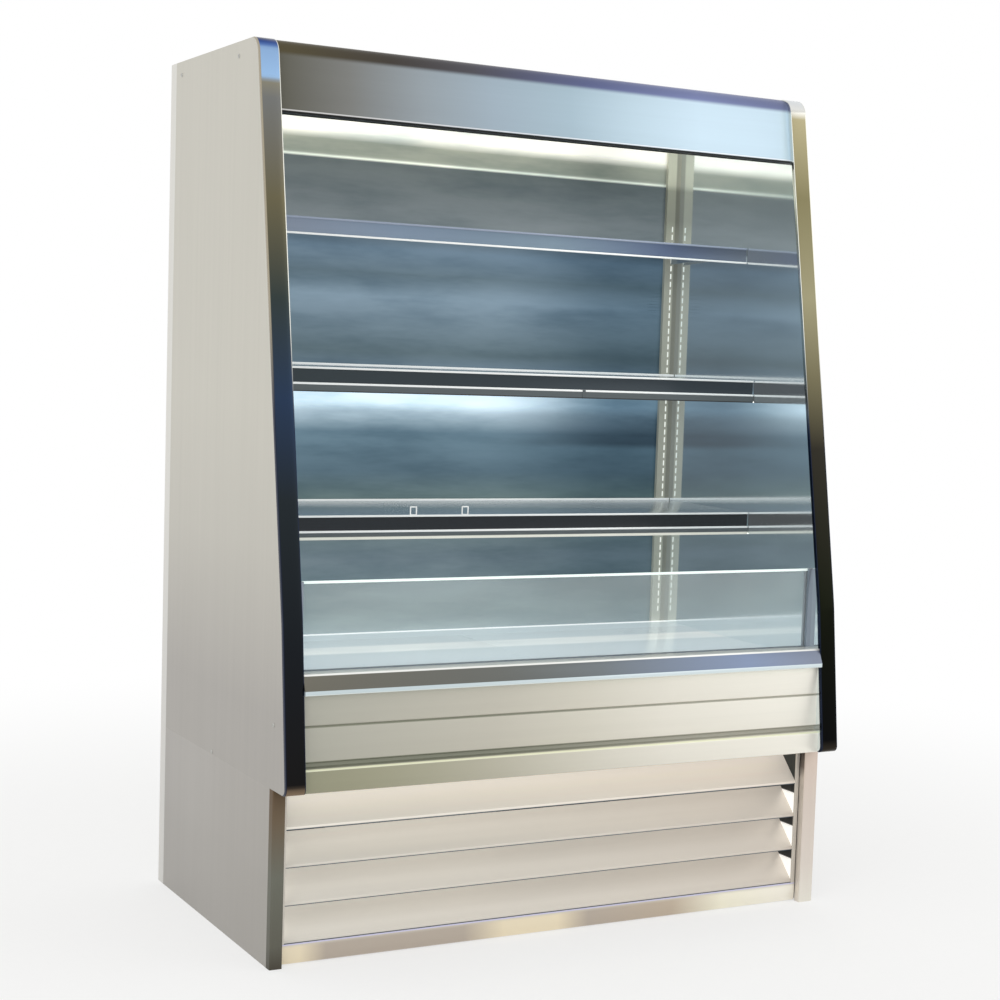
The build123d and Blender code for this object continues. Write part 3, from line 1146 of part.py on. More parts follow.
def pipework():
    """Refrigerant lines through the tub floor in their sleeve, and the drain."""
    suction_x = PIPE_X + PIPE_SPACING / 2
    liquid_x = PIPE_X - PIPE_SPACING / 2
    coil_y = (EVAPORATOR_FRONT + EVAPORATOR_BACK) / 2
    high = EVAPORATOR_LOW + EVAPORATOR_HEIGHT * SUCTION_SHARE
    low = EVAPORATOR_LOW + EVAPORATOR_HEIGHT * LIQUID_SHARE
    can_z = TRAY_TOP + COMPRESSOR_HEIGHT * CAN_SHARE
    can_back = COMPRESSOR_Y + COMPRESSOR_RADIUS + PIPE_CLEARANCE
    can_left = COMPRESSOR_X - COMPRESSOR_RADIUS - PIPE_CLEARANCE
    coil_mid_y = (CONDENSER_FRONT + CONDENSER_BACK) / 2
    between_bends = TRAY_TOP + CONDENSER_HEIGHT * RETURN_SHARE
    suction = pipe(
        PIPE_RADIUS,
        (-EVAPORATOR_X, coil_y, high),
        (suction_x, coil_y, high),
        (suction_x, PIPE_Y, high),
        (suction_x, PIPE_Y, can_z),
        (COMPRESSOR_X, PIPE_Y, can_z),
        (COMPRESSOR_X, can_back, can_z),
    )
    liquid = pipe(
        LIQUID_RADIUS,
        (-EVAPORATOR_X, coil_y, low),
        (liquid_x, coil_y, low),
        (liquid_x, PIPE_Y, low),
        (liquid_x, PIPE_Y, between_bends),
        (liquid_x, coil_mid_y, between_bends),
        (CONDENSER_LEFT, coil_mid_y, between_bends),
    )
    discharge_x = (CONDENSER_RIGHT + COMPRESSOR_X - COMPRESSOR_RADIUS) / 2
    discharge = pipe(
        LIQUID_RADIUS,
        (can_left, COMPRESSOR_Y, between_bends),
        (discharge_x, COMPRESSOR_Y, between_bends),
        (discharge_x, coil_mid_y, between_bends),
        (CONDENSER_RIGHT, coil_mid_y, between_bends),
    )
    tail = FRAME_TOP - SLEEVE_TAIL
    sleeve = rod_z(SLEEVE_RADIUS, PIPE_X, PIPE_Y, tail, TUB_FLOOR)
    sleeve -= rod_z(PIPE_RADIUS + RUNNING_FIT, suction_x, PIPE_Y, tail, TUB_FLOOR)
    sleeve -= rod_z(LIQUID_RADIUS + RUNNING_FIT, liquid_x, PIPE_Y, tail, TUB_FLOOR)
    drain_z = TRAY_TOP + DRAIN_RISE
    drain = rod_z(DRAIN_RADIUS, DRAIN_X, DRAIN_Y, drain_z, TUB_FLOOR)
    drain -= rod_z(DRAIN_RADIUS - DRAIN_WALL, DRAIN_X, DRAIN_Y, drain_z, TUB_FLOOR)
    save("pipework", suction, liquid, discharge, sleeve, drain)


def main():
    os.makedirs("parts", exist_ok=True)
    insulation(end_panels())
    back_skin()
    rear_cover()
    roof_skin()
    inner_liner()
    fascia()
    air_honeycomb()
    canopy_ceiling()
    canopy_lamp()
    back_panels()
    uprights()
    shelves()
    deck_supports()
    deck()
    return_grille()
    glass_riser()
    bumper()
    front_panel()
    base_frame()
    base_sides()
    base_rear_panel()
    cable_gland()
    louvre()
    screws()
    condenser()
    compressor()
    condensate_pan()
    control_box()
    thermostat_knob()
    light_switch()
    evaporator()
    pipework()


main()
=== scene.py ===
import bmesh
import bpy
import json
import math
from contextlib import contextmanager
from mathutils import Matrix, Vector


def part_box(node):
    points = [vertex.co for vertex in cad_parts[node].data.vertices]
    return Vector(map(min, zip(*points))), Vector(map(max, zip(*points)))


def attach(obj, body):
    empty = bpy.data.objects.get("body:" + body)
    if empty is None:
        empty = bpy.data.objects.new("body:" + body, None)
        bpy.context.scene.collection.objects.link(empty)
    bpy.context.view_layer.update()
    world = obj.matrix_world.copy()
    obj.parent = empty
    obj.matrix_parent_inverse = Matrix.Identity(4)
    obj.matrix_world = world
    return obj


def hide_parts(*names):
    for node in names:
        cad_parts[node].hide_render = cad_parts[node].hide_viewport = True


bl_info = {
    "name": "Open display fridge",
    "version": (1, 0, 0),
    "blender": (4, 5, 0),
    "location": "3D View > Sidebar > Fridge",
    "description": "Dresses the CAD model of an open multideck display fridge",
    "category": "Object",
}

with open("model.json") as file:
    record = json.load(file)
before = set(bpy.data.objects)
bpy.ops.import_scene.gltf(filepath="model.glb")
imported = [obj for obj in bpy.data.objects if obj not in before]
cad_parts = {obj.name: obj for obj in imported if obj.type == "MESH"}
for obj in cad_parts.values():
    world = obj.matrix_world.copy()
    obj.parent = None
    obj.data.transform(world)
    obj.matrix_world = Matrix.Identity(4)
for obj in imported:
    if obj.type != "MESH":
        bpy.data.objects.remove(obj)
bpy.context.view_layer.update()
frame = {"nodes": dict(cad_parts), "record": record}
NODES = frame["nodes"]
BODIES = frame["record"]["behaviour"]["bodies"]
BODY_OF = {node: body for body, nodes in BODIES.items() for node in nodes}
SLOT_OF = {part["node"]: part["material_slot"] for part in frame["record"]["subparts"]}

# Places in metres, taken from the CAD model
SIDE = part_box("end_skin_right")[1].x
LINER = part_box("end_liner_right")[0].x
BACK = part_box("back_skin")[0].y
BASE_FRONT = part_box("base_sides")[0].y
DECK_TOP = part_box("deck_pan_left")[1].z
SHELVES = (1, 2, 3)
SHELF_TOPS = {number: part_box(f"shelf_pan_{number}")[1].z for number in SHELVES}

# Places and sizes in metres that no box of the CAD model gives
FRONT_HALF = 0.667      # how far the colours of header, front panel and bumper run to each side
INNER_HALF = 0.66       # the same for the ticket rails and the louvre
HEADER_BEND = 1.950     # where the header turns back to the roof
UPRIGHT_INNER = 0.623   # inner edge of an upright
UPRIGHT_SHADE = 0.6475  # where painted shade darkens an upright beside the side liner
DECK_REAR = 0.299       # the deck's rear strip is lit behind this place
PANEL_BEND = 0.4365     # where the front panel bends into its skirt
PANEL_CREASE = 0.5275   # foot of the crease in the front panel
NOSE_HEIGHT = 0.010     # height of the bumper's upright nose
CHEEK = 0.010           # thickness of the louvre frame's two ends
KICK_TOP = 0.046
SLAT_PITCH = 0.083
TOP_SLAT = KICK_TOP + 3 * SLAT_PITCH

# Modelling
SHARP_EDGE = math.radians(30.0)
SMOOTH_BELOW = math.radians(32.0)
SHEET_EDGE = 0.0003     # bevel of cut sheet edges
ON_PLACE = 0.0002       # how near to a place an edge has to lie
ROUND_SEGMENTS = 3

# Features of noise per metre along X, Y and Z, by the axis that grain and streaks run along
BRUSH = {"X": (4.0, 900.0, 900.0), "Y": (900.0, 4.0, 900.0), "Z": (900.0, 900.0, 4.0)}
STREAK = {"X": (1.2, 60.0, 60.0), "Y": (60.0, 1.2, 60.0), "Z": (60.0, 60.0, 1.2)}
CLOUD = (3.0, 3.0, 3.0)

WHITE = "ffffff"
BLACK = "000000"


# Colours

def linear(code):
    """Linear colour from a hex code such as c6c4ba. A colour given as numbers stays as it is."""
    if not isinstance(code, str):
        return list(code)[:3]
    values = [int(code[place:place + 2], 16) / 255 for place in (0, 2, 4)]
    return [v / 12.92 if v <= 0.04045 else ((v + 0.055) / 1.055) ** 2.4 for v in values]


def colour(name, description, code):
    """A colour that the user can change."""
    return bpy.props.FloatVectorProperty(
        name=name, description=description, subtype="COLOR", min=0.0, max=1.0, default=linear(code))


def share(name, description, default):
    """A number from 0 to 1 that the user can change."""
    return bpy.props.FloatProperty(
        name=name, description=description, subtype="FACTOR", min=0.0, max=1.0, default=default)


def length(name, description, default):
    """A length in metres that the user can change."""
    return bpy.props.FloatProperty(
        name=name, description=description, subtype="DISTANCE", unit="LENGTH",
        min=0.0, precision=4, default=default)


def angle(name, description, degrees):
    """An angle that the user can change, given in degrees."""
    return bpy.props.FloatProperty(
        name=name, description=description, subtype="ANGLE", default=math.radians(degrees))


def brightness(name, description, default, unit="NONE"):
    """How bright a lamp is, which the user can change."""
    return bpy.props.FloatProperty(
        name=name, description=description, unit=unit, min=0.0, default=default)


class FridgeStudio(bpy.types.PropertyGroup):
    camera_place: bpy.props.FloatVectorProperty(
        name="Camera place", description="Where the camera stands", subtype="TRANSLATION",
        unit="LENGTH", default=(-2.1576, -4.3219, 1.3301))
    camera_yaw: angle("Camera yaw", "Turn of the camera to the right of +Y", 30.76)
    camera_pitch: angle("Camera pitch", "How far the camera looks down", 5.086)
    camera_roll: angle("Camera roll", "Tilt of the camera about its own axis", 2.197)
    lens: bpy.props.FloatProperty(
        name="Lens", description="Focal length on a 36 mm sensor", subtype="DISTANCE_CAMERA",
        unit="CAMERA", default=71.73)
    shift: bpy.props.FloatVectorProperty(
        name="Lens shift", description="Shift of the lens, in image widths", size=2,
        default=(-0.150, 0.0354))
    floor: colour("Floor", "Pale studio floor", "f4f4f2")
    key_power: brightness("Key lamp", "Power of the large lamp on the left", 40.0, "POWER")
    fill_power: brightness("Fill lamp", "Power of the large lamp on the right", 20.0, "POWER")
    sky: share("Sky", "Even light from all round", 0.85)


class FridgeCasing(bpy.types.PropertyGroup):
    steel_top: colour("Steel, top", "Brushed end panels at the top", "d2cfc4")
    steel_foot: colour("Steel, foot", "Brushed end panels at the bottom", "b0aca6")
    brush: share("Brush marks", "How far the brushed grain shows", 0.35)
    roughness: share("Roughness", "How blurred the end panels reflect", 0.42)
    fold: length("Fold radius", "Outer radius of the folded edges", 0.0022)
    trim_fold: length("Trim radius", "Outer radius of the front trims' long edges", 0.004)


class FridgeCanopy(bpy.types.PropertyGroup):
    # The header's colours at its two ends are a painted reflection.
    fascia_left: colour("Header, left", "Left end of the header sheet", "58564a")
    fascia_right: colour("Header, right", "Right end of the header sheet", "c9dfed")
    lamp: colour("Lamp", "Light of the canopy lamp", "fffaf0")
    lamp_strength: brightness("Lamp strength", "Brightness of the canopy lamp's tube", 4.0)


class FridgeInterior(bpy.types.PropertyGroup):
    liner: colour("Side liners", "Polished steel of the side walls", "dfe6e8")
    upright: colour("Uprights", "Slotted uprights", "a9ab9e")
    deck: colour("Deck", "Polished deck pans", "d0dde3")
    wall_glow: share("Wall light", "Lamp light on the back wall", 0.5)
    deck_glow: share("Deck light", "Lamp light on the deck", 0.42)


class FridgeShelves(bpy.types.PropertyGroup):
    sheet: colour("Shelf", "Polished shelf sheet", "9aa6ae")
    lamp_strength: brightness("Shelf lamps", "Brightness of the lamps under the lower two shelves", 2.5)


class FridgeFront(bpy.types.PropertyGroup):
    # The front panel's colours at its two ends, between which it is painted lighter towards the right.
    panel_left: colour("Front panel, left", "Left end of the front panel", "aeada1")
    panel_right: colour("Front panel, right", "Right end of the front panel", "f6f3e8")
    bumper: colour("Bumper", "Rail along the front edge", "8f98a3")
    glass: colour("Glass", "Tint of the glass riser", "eef7f4")
    glass_veil: share("Glass veil", "How far the glass hides what is behind it", 0.12)


class FridgeBase(bpy.types.PropertyGroup):
    louvre: colour("Louvre", "Louvred front of the base", "d2ccc2")
    kick: colour("Kick plate", "Lowest strip of the louvred front", "c9b491")


# Finishes

class Amount:
    """A socket whose arithmetic adds Math nodes to its finish."""

    def __init__(self, finish, socket):
        self.finish = finish
        self.socket = socket

    def math(self, operation, first, second):
        return self.finish.add("ShaderNodeMath", {"operation": operation}, {0: first, 1: second})

    def __add__(self, other):
        return self.math("ADD", self, other)

    def __sub__(self, other):
        return self.math("SUBTRACT", self, other)

    def __mul__(self, other):
        return self.math("MULTIPLY", self, other)

    def __truediv__(self, other):
        return self.math("DIVIDE", self, other)


class Finish:
    """A procedural material: one Principled shader and the nodes that feed it."""

    def __init__(self, name, constants):
        self.material = bpy.data.materials.new(name)
        self.material.use_nodes = True
        self.tree = self.material.node_tree
        self.shader = self.tree.nodes["Principled BSDF"]
        for socket, value in constants.items():
            self.feed(self.shader.inputs[socket], value)
        self.place = self.add("ShaderNodeTexCoord", output="Object")

    def feed(self, socket, value):
        if isinstance(value, Amount):
            self.tree.links.new(value.socket, socket)
        elif socket.type == "RGBA":
            socket.default_value = (*linear(value), 1.0)
        else:
            socket.default_value = value

    def add(self, kind, settings=None, inputs=None, output=0):
        """One node: its settings first, then the values or links of its sockets."""
        node = self.tree.nodes.new(kind)
        for name, value in (settings or {}).items():
            if name == "stops":
                self.set_stops(node.color_ramp, value)
            else:
                setattr(node, name, value)
        for socket, value in (inputs or {}).items():
            self.feed(node.inputs[socket], value)
        return Amount(self, node.outputs[output])

    @staticmethod
    def set_stops(ramp, stops):
        while len(ramp.elements) < len(stops):
            ramp.elements.new(1.0)
        for element, (at, value) in zip(ramp.elements, stops):
            element.position = at
            element.color = (*linear(value), 1.0)

    def along(self, axis):
        """Distance along X, Y or Z in metres."""
        return self.add("ShaderNodeSeparateXYZ", None, {0: self.place}, "XYZ".index(axis))

    def step(self, axis, low, high):
        """Runs smoothly from 0 at low to 1 at high, two places along an axis; low may be the higher."""
        start, end = min(low, high), max(low, high)
        at_start, at_end = (0.0, 1.0) if low < high else (1.0, 0.0)
        return self.add("ShaderNodeMapRange", {"interpolation_type": "SMOOTHSTEP"},
                        {"Value": self.along(axis), "From Min": start, "From Max": end,
                         "To Min": at_start, "To Max": at_end})

    def past(self, axis, place, soft=0.0005):
        """0 before a place along an axis and 1 past it."""
        return self.step(axis, place - soft, place + soft)

    def before(self, axis, place, soft=0.0005):
        """1 before a place along an axis and 0 past it."""
        return self.step(axis, place + soft, place - soft)

    def outside(self, place, soft=0.0005):
        """1 farther than a place from the middle of X, on either side, and 0 between."""
        return self.past("X", place, soft) + self.before("X", -place, soft)

    def ramp(self, amount, stops):
        return self.add("ShaderNodeValToRGB", {"stops": stops}, {0: amount})

    def until(self, amount, start, end):
        """1 while the amount is below start and 0 from end on."""
        return self.ramp(amount, [(start, WHITE), (end, BLACK)])

    def gradient(self, axis, stops):
        """Colour that changes along one axis; stops are (place in metres, colour)."""
        low, high = stops[0][0], stops[-1][0]
        amount = (self.along(axis) - low) / (high - low)
        return self.ramp(amount, [((at - low) / (high - low), value) for at, value in stops])

    def noise(self, stretch, detail=2.0, roughness=0.5):
        """Noise from 0 to 1; stretch is its features per metre along X, Y and Z."""
        vector = self.add("ShaderNodeVectorMath", {"operation": "MULTIPLY"},
                          {0: self.place, 1: stretch})
        return self.add("ShaderNodeTexNoise", None,
                        {"Vector": vector, "Scale": 1.0, "Detail": detail, "Roughness": roughness})

    def mix(self, factor, first, second, blend="MIX"):
        settings = {"data_type": "RGBA", "blend_type": blend}
        return self.add("ShaderNodeMix", settings, {0: factor, 6: first, 7: second}, 2)

    def times(self, value, factor):
        """The colour, multiplied by a number."""
        tone = self.add("ShaderNodeCombineXYZ", None, {0: factor, 1: factor, 2: factor})
        return self.mix(1.0, value, tone, "MULTIPLY")

    def band(self, axis, low, high, soft=0.0008):
        """1 between two places along an axis and 0 outside them."""
        return self.step(axis, low - soft, low) * self.step(axis, high + soft, high)

    def shade(self, value, dark, amount):
        """The colour, darkened where amount is high."""
        return self.mix(amount, value, self.mix(1.0, value, (dark, dark, dark), "MULTIPLY"))

    def set(self, socket, value):
        self.feed(self.shader.inputs[socket], value)

    def bump(self, height, strength, distance):
        values = {"Strength": strength, "Distance": distance, "Height": height}
        self.set("Normal", self.add("ShaderNodeBump", None, values))


def steel(name, tone, grain, roughness, brush=0.3, cloud=0.25, metallic=1.0, glow=None):
    """Brushed or polished steel: fine grain along one axis, broad streaks and faint clouding.

    tone is a colour, or a function that builds one from the finish. glow is the share of it
    that shines as if lit from lamps close by, or a function of the finish and its tone.
    """
    finish = Finish(name, {"Metallic": metallic, "Emission Strength": 1.0 if glow else 0.0})
    base = tone(finish) if callable(tone) else tone
    lines = finish.noise(BRUSH[grain], 2.0)
    streaks = finish.noise(STREAK[grain], 3.0)
    clouds = finish.noise(CLOUD, 3.0)
    if not isinstance(base, Amount):
        base = finish.mix(clouds, base, [min(1.0, v * 1.04) for v in linear(base)])
    base = finish.shade(base, 0.80, streaks * brush)
    finish.set("Base Color", finish.shade(base, 0.72, lines * (brush * 0.4)))
    if glow:
        finish.set("Emission Color", glow(finish, base) if callable(glow) else finish.times(base, glow))
    finish.set("Roughness",
               clouds * (cloud * 0.25) + lines * (brush * 0.1) + (roughness - cloud * 0.125))
    finish.bump(lines + streaks, brush * 0.25, 0.0002)
    return finish.material


def plastic(name, tone, roughness, grain=0.1, emission=None, strength=0.0):
    """Moulded plastic or enamel: a fine pebble in the surface and slight colour change."""
    finish = Finish(name, {"Metallic": 0.0, "Emission Strength": strength})
    pebble = finish.noise((700.0, 700.0, 700.0), 2.0)
    clouds = finish.noise((8.0, 8.0, 8.0), 3.0)
    finish.set("Base Color", finish.shade(tone, 0.86, clouds * 0.5))
    finish.set("Roughness", clouds * 0.1 + (roughness - 0.05))
    if emission:
        finish.set("Emission Color", finish.shade(emission, 0.93, clouds))
    finish.bump(pebble, grain, 0.0003)
    return finish.material


def wear(material, *nodes):
    """Gives CAD nodes a finish."""
    for node in nodes:
        for slot in NODES[node].material_slots:
            slot.material = material


# Operators

class FRIDGE_OT_stage(bpy.types.Operator):
    """Sets up the pale floor, the soft lamps and the camera"""
    bl_idname = "fridge.stage"
    bl_label = "Stage"

    def execute(self, context):
        studio = context.scene.fridge_studio
        deselect()
        turn = (Matrix.Rotation(-studio.camera_yaw, 4, "Z")
                @ Matrix.Rotation(math.pi / 2 - studio.camera_pitch, 4, "X")
                @ Matrix.Rotation(studio.camera_roll, 4, "Z"))
        bpy.ops.object.camera_add(location=studio.camera_place, rotation=turn.to_euler())
        camera = context.object
        camera.data.sensor_width = 36.0
        camera.data.lens = studio.lens
        camera.data.shift_x, camera.data.shift_y = studio.shift
        context.scene.camera = camera
        self.lamp(context, "key_lamp", (-3.2, -3.6, 3.6), studio.key_power, 3.6)
        self.lamp(context, "fill_lamp", (3.4, -3.4, 2.6), studio.fill_power, 3.2)
        self.world(context, studio)
        self.floor(studio)
        context.scene.view_settings.view_transform = "Standard"
        return {"FINISHED"}

    @staticmethod
    def lamp(context, name, place, power, size):
        bpy.ops.object.light_add(type="AREA", location=place)
        lamp = context.object
        lamp.name = name
        lamp.data.energy = power
        lamp.data.shape = "SQUARE"
        lamp.data.size = size
        aim = Vector((0.0, 0.0, 1.0)) - Vector(place)
        lamp.rotation_euler = aim.to_track_quat("-Z", "Y").to_euler()

    @staticmethod
    def world(context, studio):
        world = bpy.data.worlds.new("studio_world")
        context.scene.world = world
        world.use_nodes = True
        nodes, links = world.node_tree.nodes, world.node_tree.links
        back = nodes["Background"]
        back.inputs["Color"].default_value = (1.0, 1.0, 1.0, 1.0)
        path = nodes.new("ShaderNodeLightPath")
        seen = nodes.new("ShaderNodeMath")
        seen.operation = "MAXIMUM"
        links.new(path.outputs["Is Camera Ray"], seen.inputs[0])
        links.new(path.outputs["Is Glossy Ray"], seen.inputs[1])
        through = nodes.new("ShaderNodeMath")
        through.operation = "MAXIMUM"
        links.new(seen.outputs[0], through.inputs[0])
        links.new(path.outputs["Is Transmission Ray"], through.inputs[1])
        strength = nodes.new("ShaderNodeMapRange")
        strength.inputs["To Min"].default_value = studio.sky
        strength.inputs["To Max"].default_value = 1.0
        links.new(through.outputs[0], strength.inputs["Value"])
        links.new(strength.outputs[0], back.inputs["Strength"])

    @staticmethod
    def floor(studio):
        bpy.ops.mesh.primitive_plane_add(size=60.0, location=(0.0, 0.0, 0.0))
        floor = bpy.context.object
        floor.name = "floor"
        finish = Finish("pale_floor", {"Roughness": 0.9, "Specular IOR Level": 0.0})
        speckle = finish.noise((40.0, 40.0, 40.0), 3.0)
        finish.set("Base Color", finish.shade(studio.floor, 0.97, speckle))
        path = finish.add("ShaderNodeLightPath", output="Is Camera Ray")
        glossy = finish.add("ShaderNodeLightPath", output="Is Glossy Ray")
        through = finish.add("ShaderNodeLightPath", output="Is Transmission Ray")
        seen = path.math("MAXIMUM", path.math("MAXIMUM", path, glossy), through)
        distance = finish.add("ShaderNodeVectorMath", {"operation": "LENGTH"},
                              {0: finish.place}, "Value")
        far = finish.add("ShaderNodeMapRange", {"interpolation_type": "SMOOTHSTEP"},
                         {"Value": distance, "From Min": 1.2, "From Max": 3.5,
                          "To Min": 0.6, "To Max": 1.0})
        glow = finish.add("ShaderNodeEmission", None, {"Color": (1.0, 1.0, 1.0), "Strength": 1.0})
        body = Amount(finish, finish.shader.outputs[0])
        blend = finish.add("ShaderNodeMixShader", None, {0: seen * far, 1: body, 2: glow})
        finish.tree.links.new(blend.socket, finish.tree.nodes["Material Output"].inputs["Surface"])
        floor.data.materials.append(finish.material)


def deselect():
    if bpy.context.object and bpy.context.object.mode != "OBJECT":
        bpy.ops.object.mode_set(mode="OBJECT")
    bpy.ops.object.select_all(action="DESELECT")


# Modelling

def activate(piece):
    deselect()
    piece.select_set(True)
    bpy.context.view_layer.objects.active = piece


@contextmanager
def editing(piece):
    """Edit mode on one piece, with nothing selected in it."""
    activate(piece)
    bpy.ops.object.mode_set(mode="EDIT")
    bpy.context.tool_settings.mesh_select_mode = (False, True, False)
    bpy.ops.mesh.select_all(action="DESELECT")
    yield bmesh.from_edit_mesh(piece.data)
    bpy.ops.object.mode_set(mode="OBJECT")


def at(axis, *places):
    """Test for edges that lie at one of the places along X, Y or Z, on either side for X."""
    def test(edge):
        values = [point.co["XYZ".index(axis)] for point in edge.verts]
        if axis == "X":
            values = [abs(value) for value in values]
        return any(max(abs(value - place) for value in values) < ON_PLACE for place in places)
    return test


def both(*tests):
    """Test for edges that pass every test."""
    return lambda edge: all(test(edge) for test in tests)


def rounded(piece, test, radius):
    """Rounds the sharp edges of a piece that pass the test."""
    with editing(piece) as mesh:
        picked = 0
        for edge in mesh.edges:
            sharp = len(edge.link_faces) == 2 and edge.calc_face_angle(0.0) > SHARP_EDGE
            if sharp and test(edge):
                edge.select_set(True)
                picked += 1
        if not picked:
            raise RuntimeError(f"no edge of {piece.name} is where it is rounded")
        bmesh.update_edit_mesh(piece.data)
        bpy.ops.mesh.bevel(
            offset=radius, segments=ROUND_SEGMENTS, affect="EDGES", clamp_overlap=True)


def bevelled(piece, width, segments=2):
    """Rounds every sharp edge of a piece a little."""
    activate(piece)
    modifier = piece.modifiers.new("edges", "BEVEL")
    modifier.width = width
    modifier.segments = segments
    modifier.limit_method = "ANGLE"
    modifier.angle_limit = SHARP_EDGE
    bpy.ops.object.modifier_apply(modifier=modifier.name)


def smooth(piece):
    activate(piece)
    bpy.ops.object.shade_smooth_by_angle(angle=SMOOTH_BELOW)


def placed(piece, material, body, slot, *nodes):
    """Gives a finished piece its material and body, and hides the nodes it stands for. The slot is not
    used.
    """
    piece.data.materials.clear()
    piece.data.materials.append(material)
    smooth(piece)
    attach(piece, body)
    if nodes:
        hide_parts(*nodes)


def formed(node, material, folds=(), edge=SHEET_EDGE):
    """Makes the piece that stands for a CAD node: its mesh with the folds rounded, each given as
    (test, radius), and then its other sharp edges by the width edge.
    """
    piece = bpy.data.objects.new(node + "_formed", NODES[node].data.copy())
    bpy.context.collection.objects.link(piece)
    activate(piece)
    bpy.ops.mesh.customdata_custom_splitnormals_clear()
    with editing(piece):
        bpy.ops.mesh.select_all(action="SELECT")
        bpy.ops.mesh.remove_doubles(threshold=0.00001)
        bpy.ops.mesh.dissolve_limited(angle_limit=math.radians(0.5))
        bpy.ops.mesh.normals_make_consistent(inside=False)
    for test, radius in folds:
        rounded(piece, test, radius)
    if edge:
        bevelled(piece, edge)
    placed(piece, material, BODY_OF[node], SLOT_OF[node], node)


def bar(name, low, high, edge):
    """A bar between two corners, with its edges rounded."""
    size = [b - a for a, b in zip(low, high)]
    middle = [(a + b) / 2 for a, b in zip(low, high)]
    deselect()
    bpy.ops.mesh.primitive_cube_add(size=1.0, location=middle)
    piece = bpy.context.object
    piece.name = name
    bpy.ops.object.mode_set(mode="EDIT")
    bpy.ops.transform.resize(value=size)
    bpy.ops.object.mode_set(mode="OBJECT")
    bpy.ops.object.transform_apply(location=True, rotation=False, scale=True)
    bevelled(piece, edge, ROUND_SEGMENTS)
    return piece


class FRIDGE_OT_casing(bpy.types.Operator):
    """Finishes the end panels, back, roof and screws, and rounds the folds of the front trims"""
    bl_idname = "fridge.casing"
    bl_label = "Casing"

    def execute(self, context):
        look = context.scene.fridge_casing
        top, foot = look.steel_top, look.steel_foot

        def tall(finish):
            # Painted shade darkens the end panels towards the foot; the back skin is made lighter.
            middle = [0.72 * a + 0.28 * b for a, b in zip(top, foot)]
            body = finish.gradient(
                "Z", [(0.0, foot), (0.55, foot), (0.9, middle), (1.2, top), (1.98, top)])
            return finish.mix(finish.past("Y", BACK), body, finish.mix(0.6, body, "f4f3ef"))

        ends = steel("end_panel_steel", tall, "Z", look.roughness, look.brush, metallic=0.55)
        wear(ends, "end_skin_left", "end_skin_right", "back_skin", "base_rear_panel")
        roof = steel("roof_steel", top, "X", look.roughness, look.brush, metallic=0.55)
        wear(roof, "roof_skin", "rear_cover")
        wear(steel("screw_zinc", "b9b9b4", "X", 0.3, 0.1), "screws")
        self.base_sides(tall, look)
        self.trims(look)
        return {"FINISHED"}

    @staticmethod
    def base_sides(tall, look):
        """Side sheets of the base; their front flanges carry a painted reflection of the floor, dark on
        the left one and pale on the right one.
        """
        def side(finish):
            left = finish.gradient("Z", [(0.0, "4c473c"), (0.05, "66655a"), (0.20, "6f7065"),
                                         (0.32, "6d5e4a"), (0.39, "63503a")])
            right = finish.gradient("Z", [(0.0, "f3efe4"), (0.10, "e6dcd2"), (0.25, "dccfc4"),
                                          (0.39, "dccabc")])
            flange = finish.mix(finish.past("X", 0.0, 0.1), left, right)
            # The return leg behind the flange: pale, with painted shade towards its top.
            leg = finish.gradient("Z", [(0.0, "f0e9e0"), (0.31, "e9e0d6"), (0.34, "8a7f78"),
                                        (0.39, "4d4640")])
            behind = finish.past("Y", BASE_FRONT + 0.0015, 0.0004) * finish.band("X", 0.60, 0.6680)
            flange = finish.mix(behind, flange, leg)
            return finish.mix(finish.past("Y", BASE_FRONT + 0.0210), flange, tall(finish))

        folds = [(both(at("X", SIDE), at("Y", BASE_FRONT)), look.fold)]
        material = steel("base_side_steel", side, "Z", look.roughness, look.brush, metallic=0.5)
        formed("base_sides", material, folds)

    @staticmethod
    def trims(look):
        """Mirror-polished fronts of the end panels, with a painted reflection of the dark room in their
        lower half and painted highlights along their rounded long edges.
        """
        left = [(0.39, "8f7a63"), (0.404, "6b5c4c"), (0.41, "1c1b1b"), (0.686, "1e2125"),
                (1.003, "282e32"), (1.215, "2d3c54"), (1.426, "384140"), (1.638, "6b654e"),
                (1.849, "767775"), (1.885, "8a8676"), (1.895, "9cc0e8"), (1.955, "8fb0d8"),
                (1.965, "3557a0"), (1.981, "2c2a35")]
        right = [(0.39, "3a342c"), (0.42, "101010"), (0.757, "161810"), (1.124, "2a2822"),
                 (1.30, "635e48"), (1.491, "868166"), (1.735, "726c4f"), (1.931, "9c9474"),
                 (1.955, "e6e6e2"), (1.981, "d4d9dd")]
        rim = 0.0016

        def fold(edge):
            """The long edges between the front of a trim and its two sides."""
            outward = [face.normal for face in edge.link_faces]
            sideways = any(abs(n.x) > 0.9 for n in outward)
            forwards = any(abs(n.x) < 0.1 and n.y < 0.2 for n in outward)
            return sideways and forwards and at("X", SIDE, LINER)(edge)

        for side, stops, low_x, low_line, high_x, high_line in (
                ("left", left, -SIDE, "a39a86", -LINER, "e4e3da"),
                ("right", right, LINER, "dfe0d8", SIDE, "d8d6ca")):

            def reflected(finish):
                tone = finish.gradient("Z", stops)
                high = finish.past("Z", 1.30, 0.15)
                # Painted highlights along the two rounded long edges, dark like the rest of the painted
                # reflection below about 1.3 m.
                tone = finish.mix(finish.before("X", low_x + rim, 0.0004), tone,
                                  finish.mix(high, "232a3d", low_line))
                return finish.mix(finish.past("X", high_x - rim, 0.0004), tone,
                                  finish.mix(high, "232a3d", high_line))

            mirror = steel("mirror_trim_" + side, reflected, "Z", 0.16, 0.12)
            formed("end_trim_" + side, mirror, [(fold, look.trim_fold)], edge=0.0)


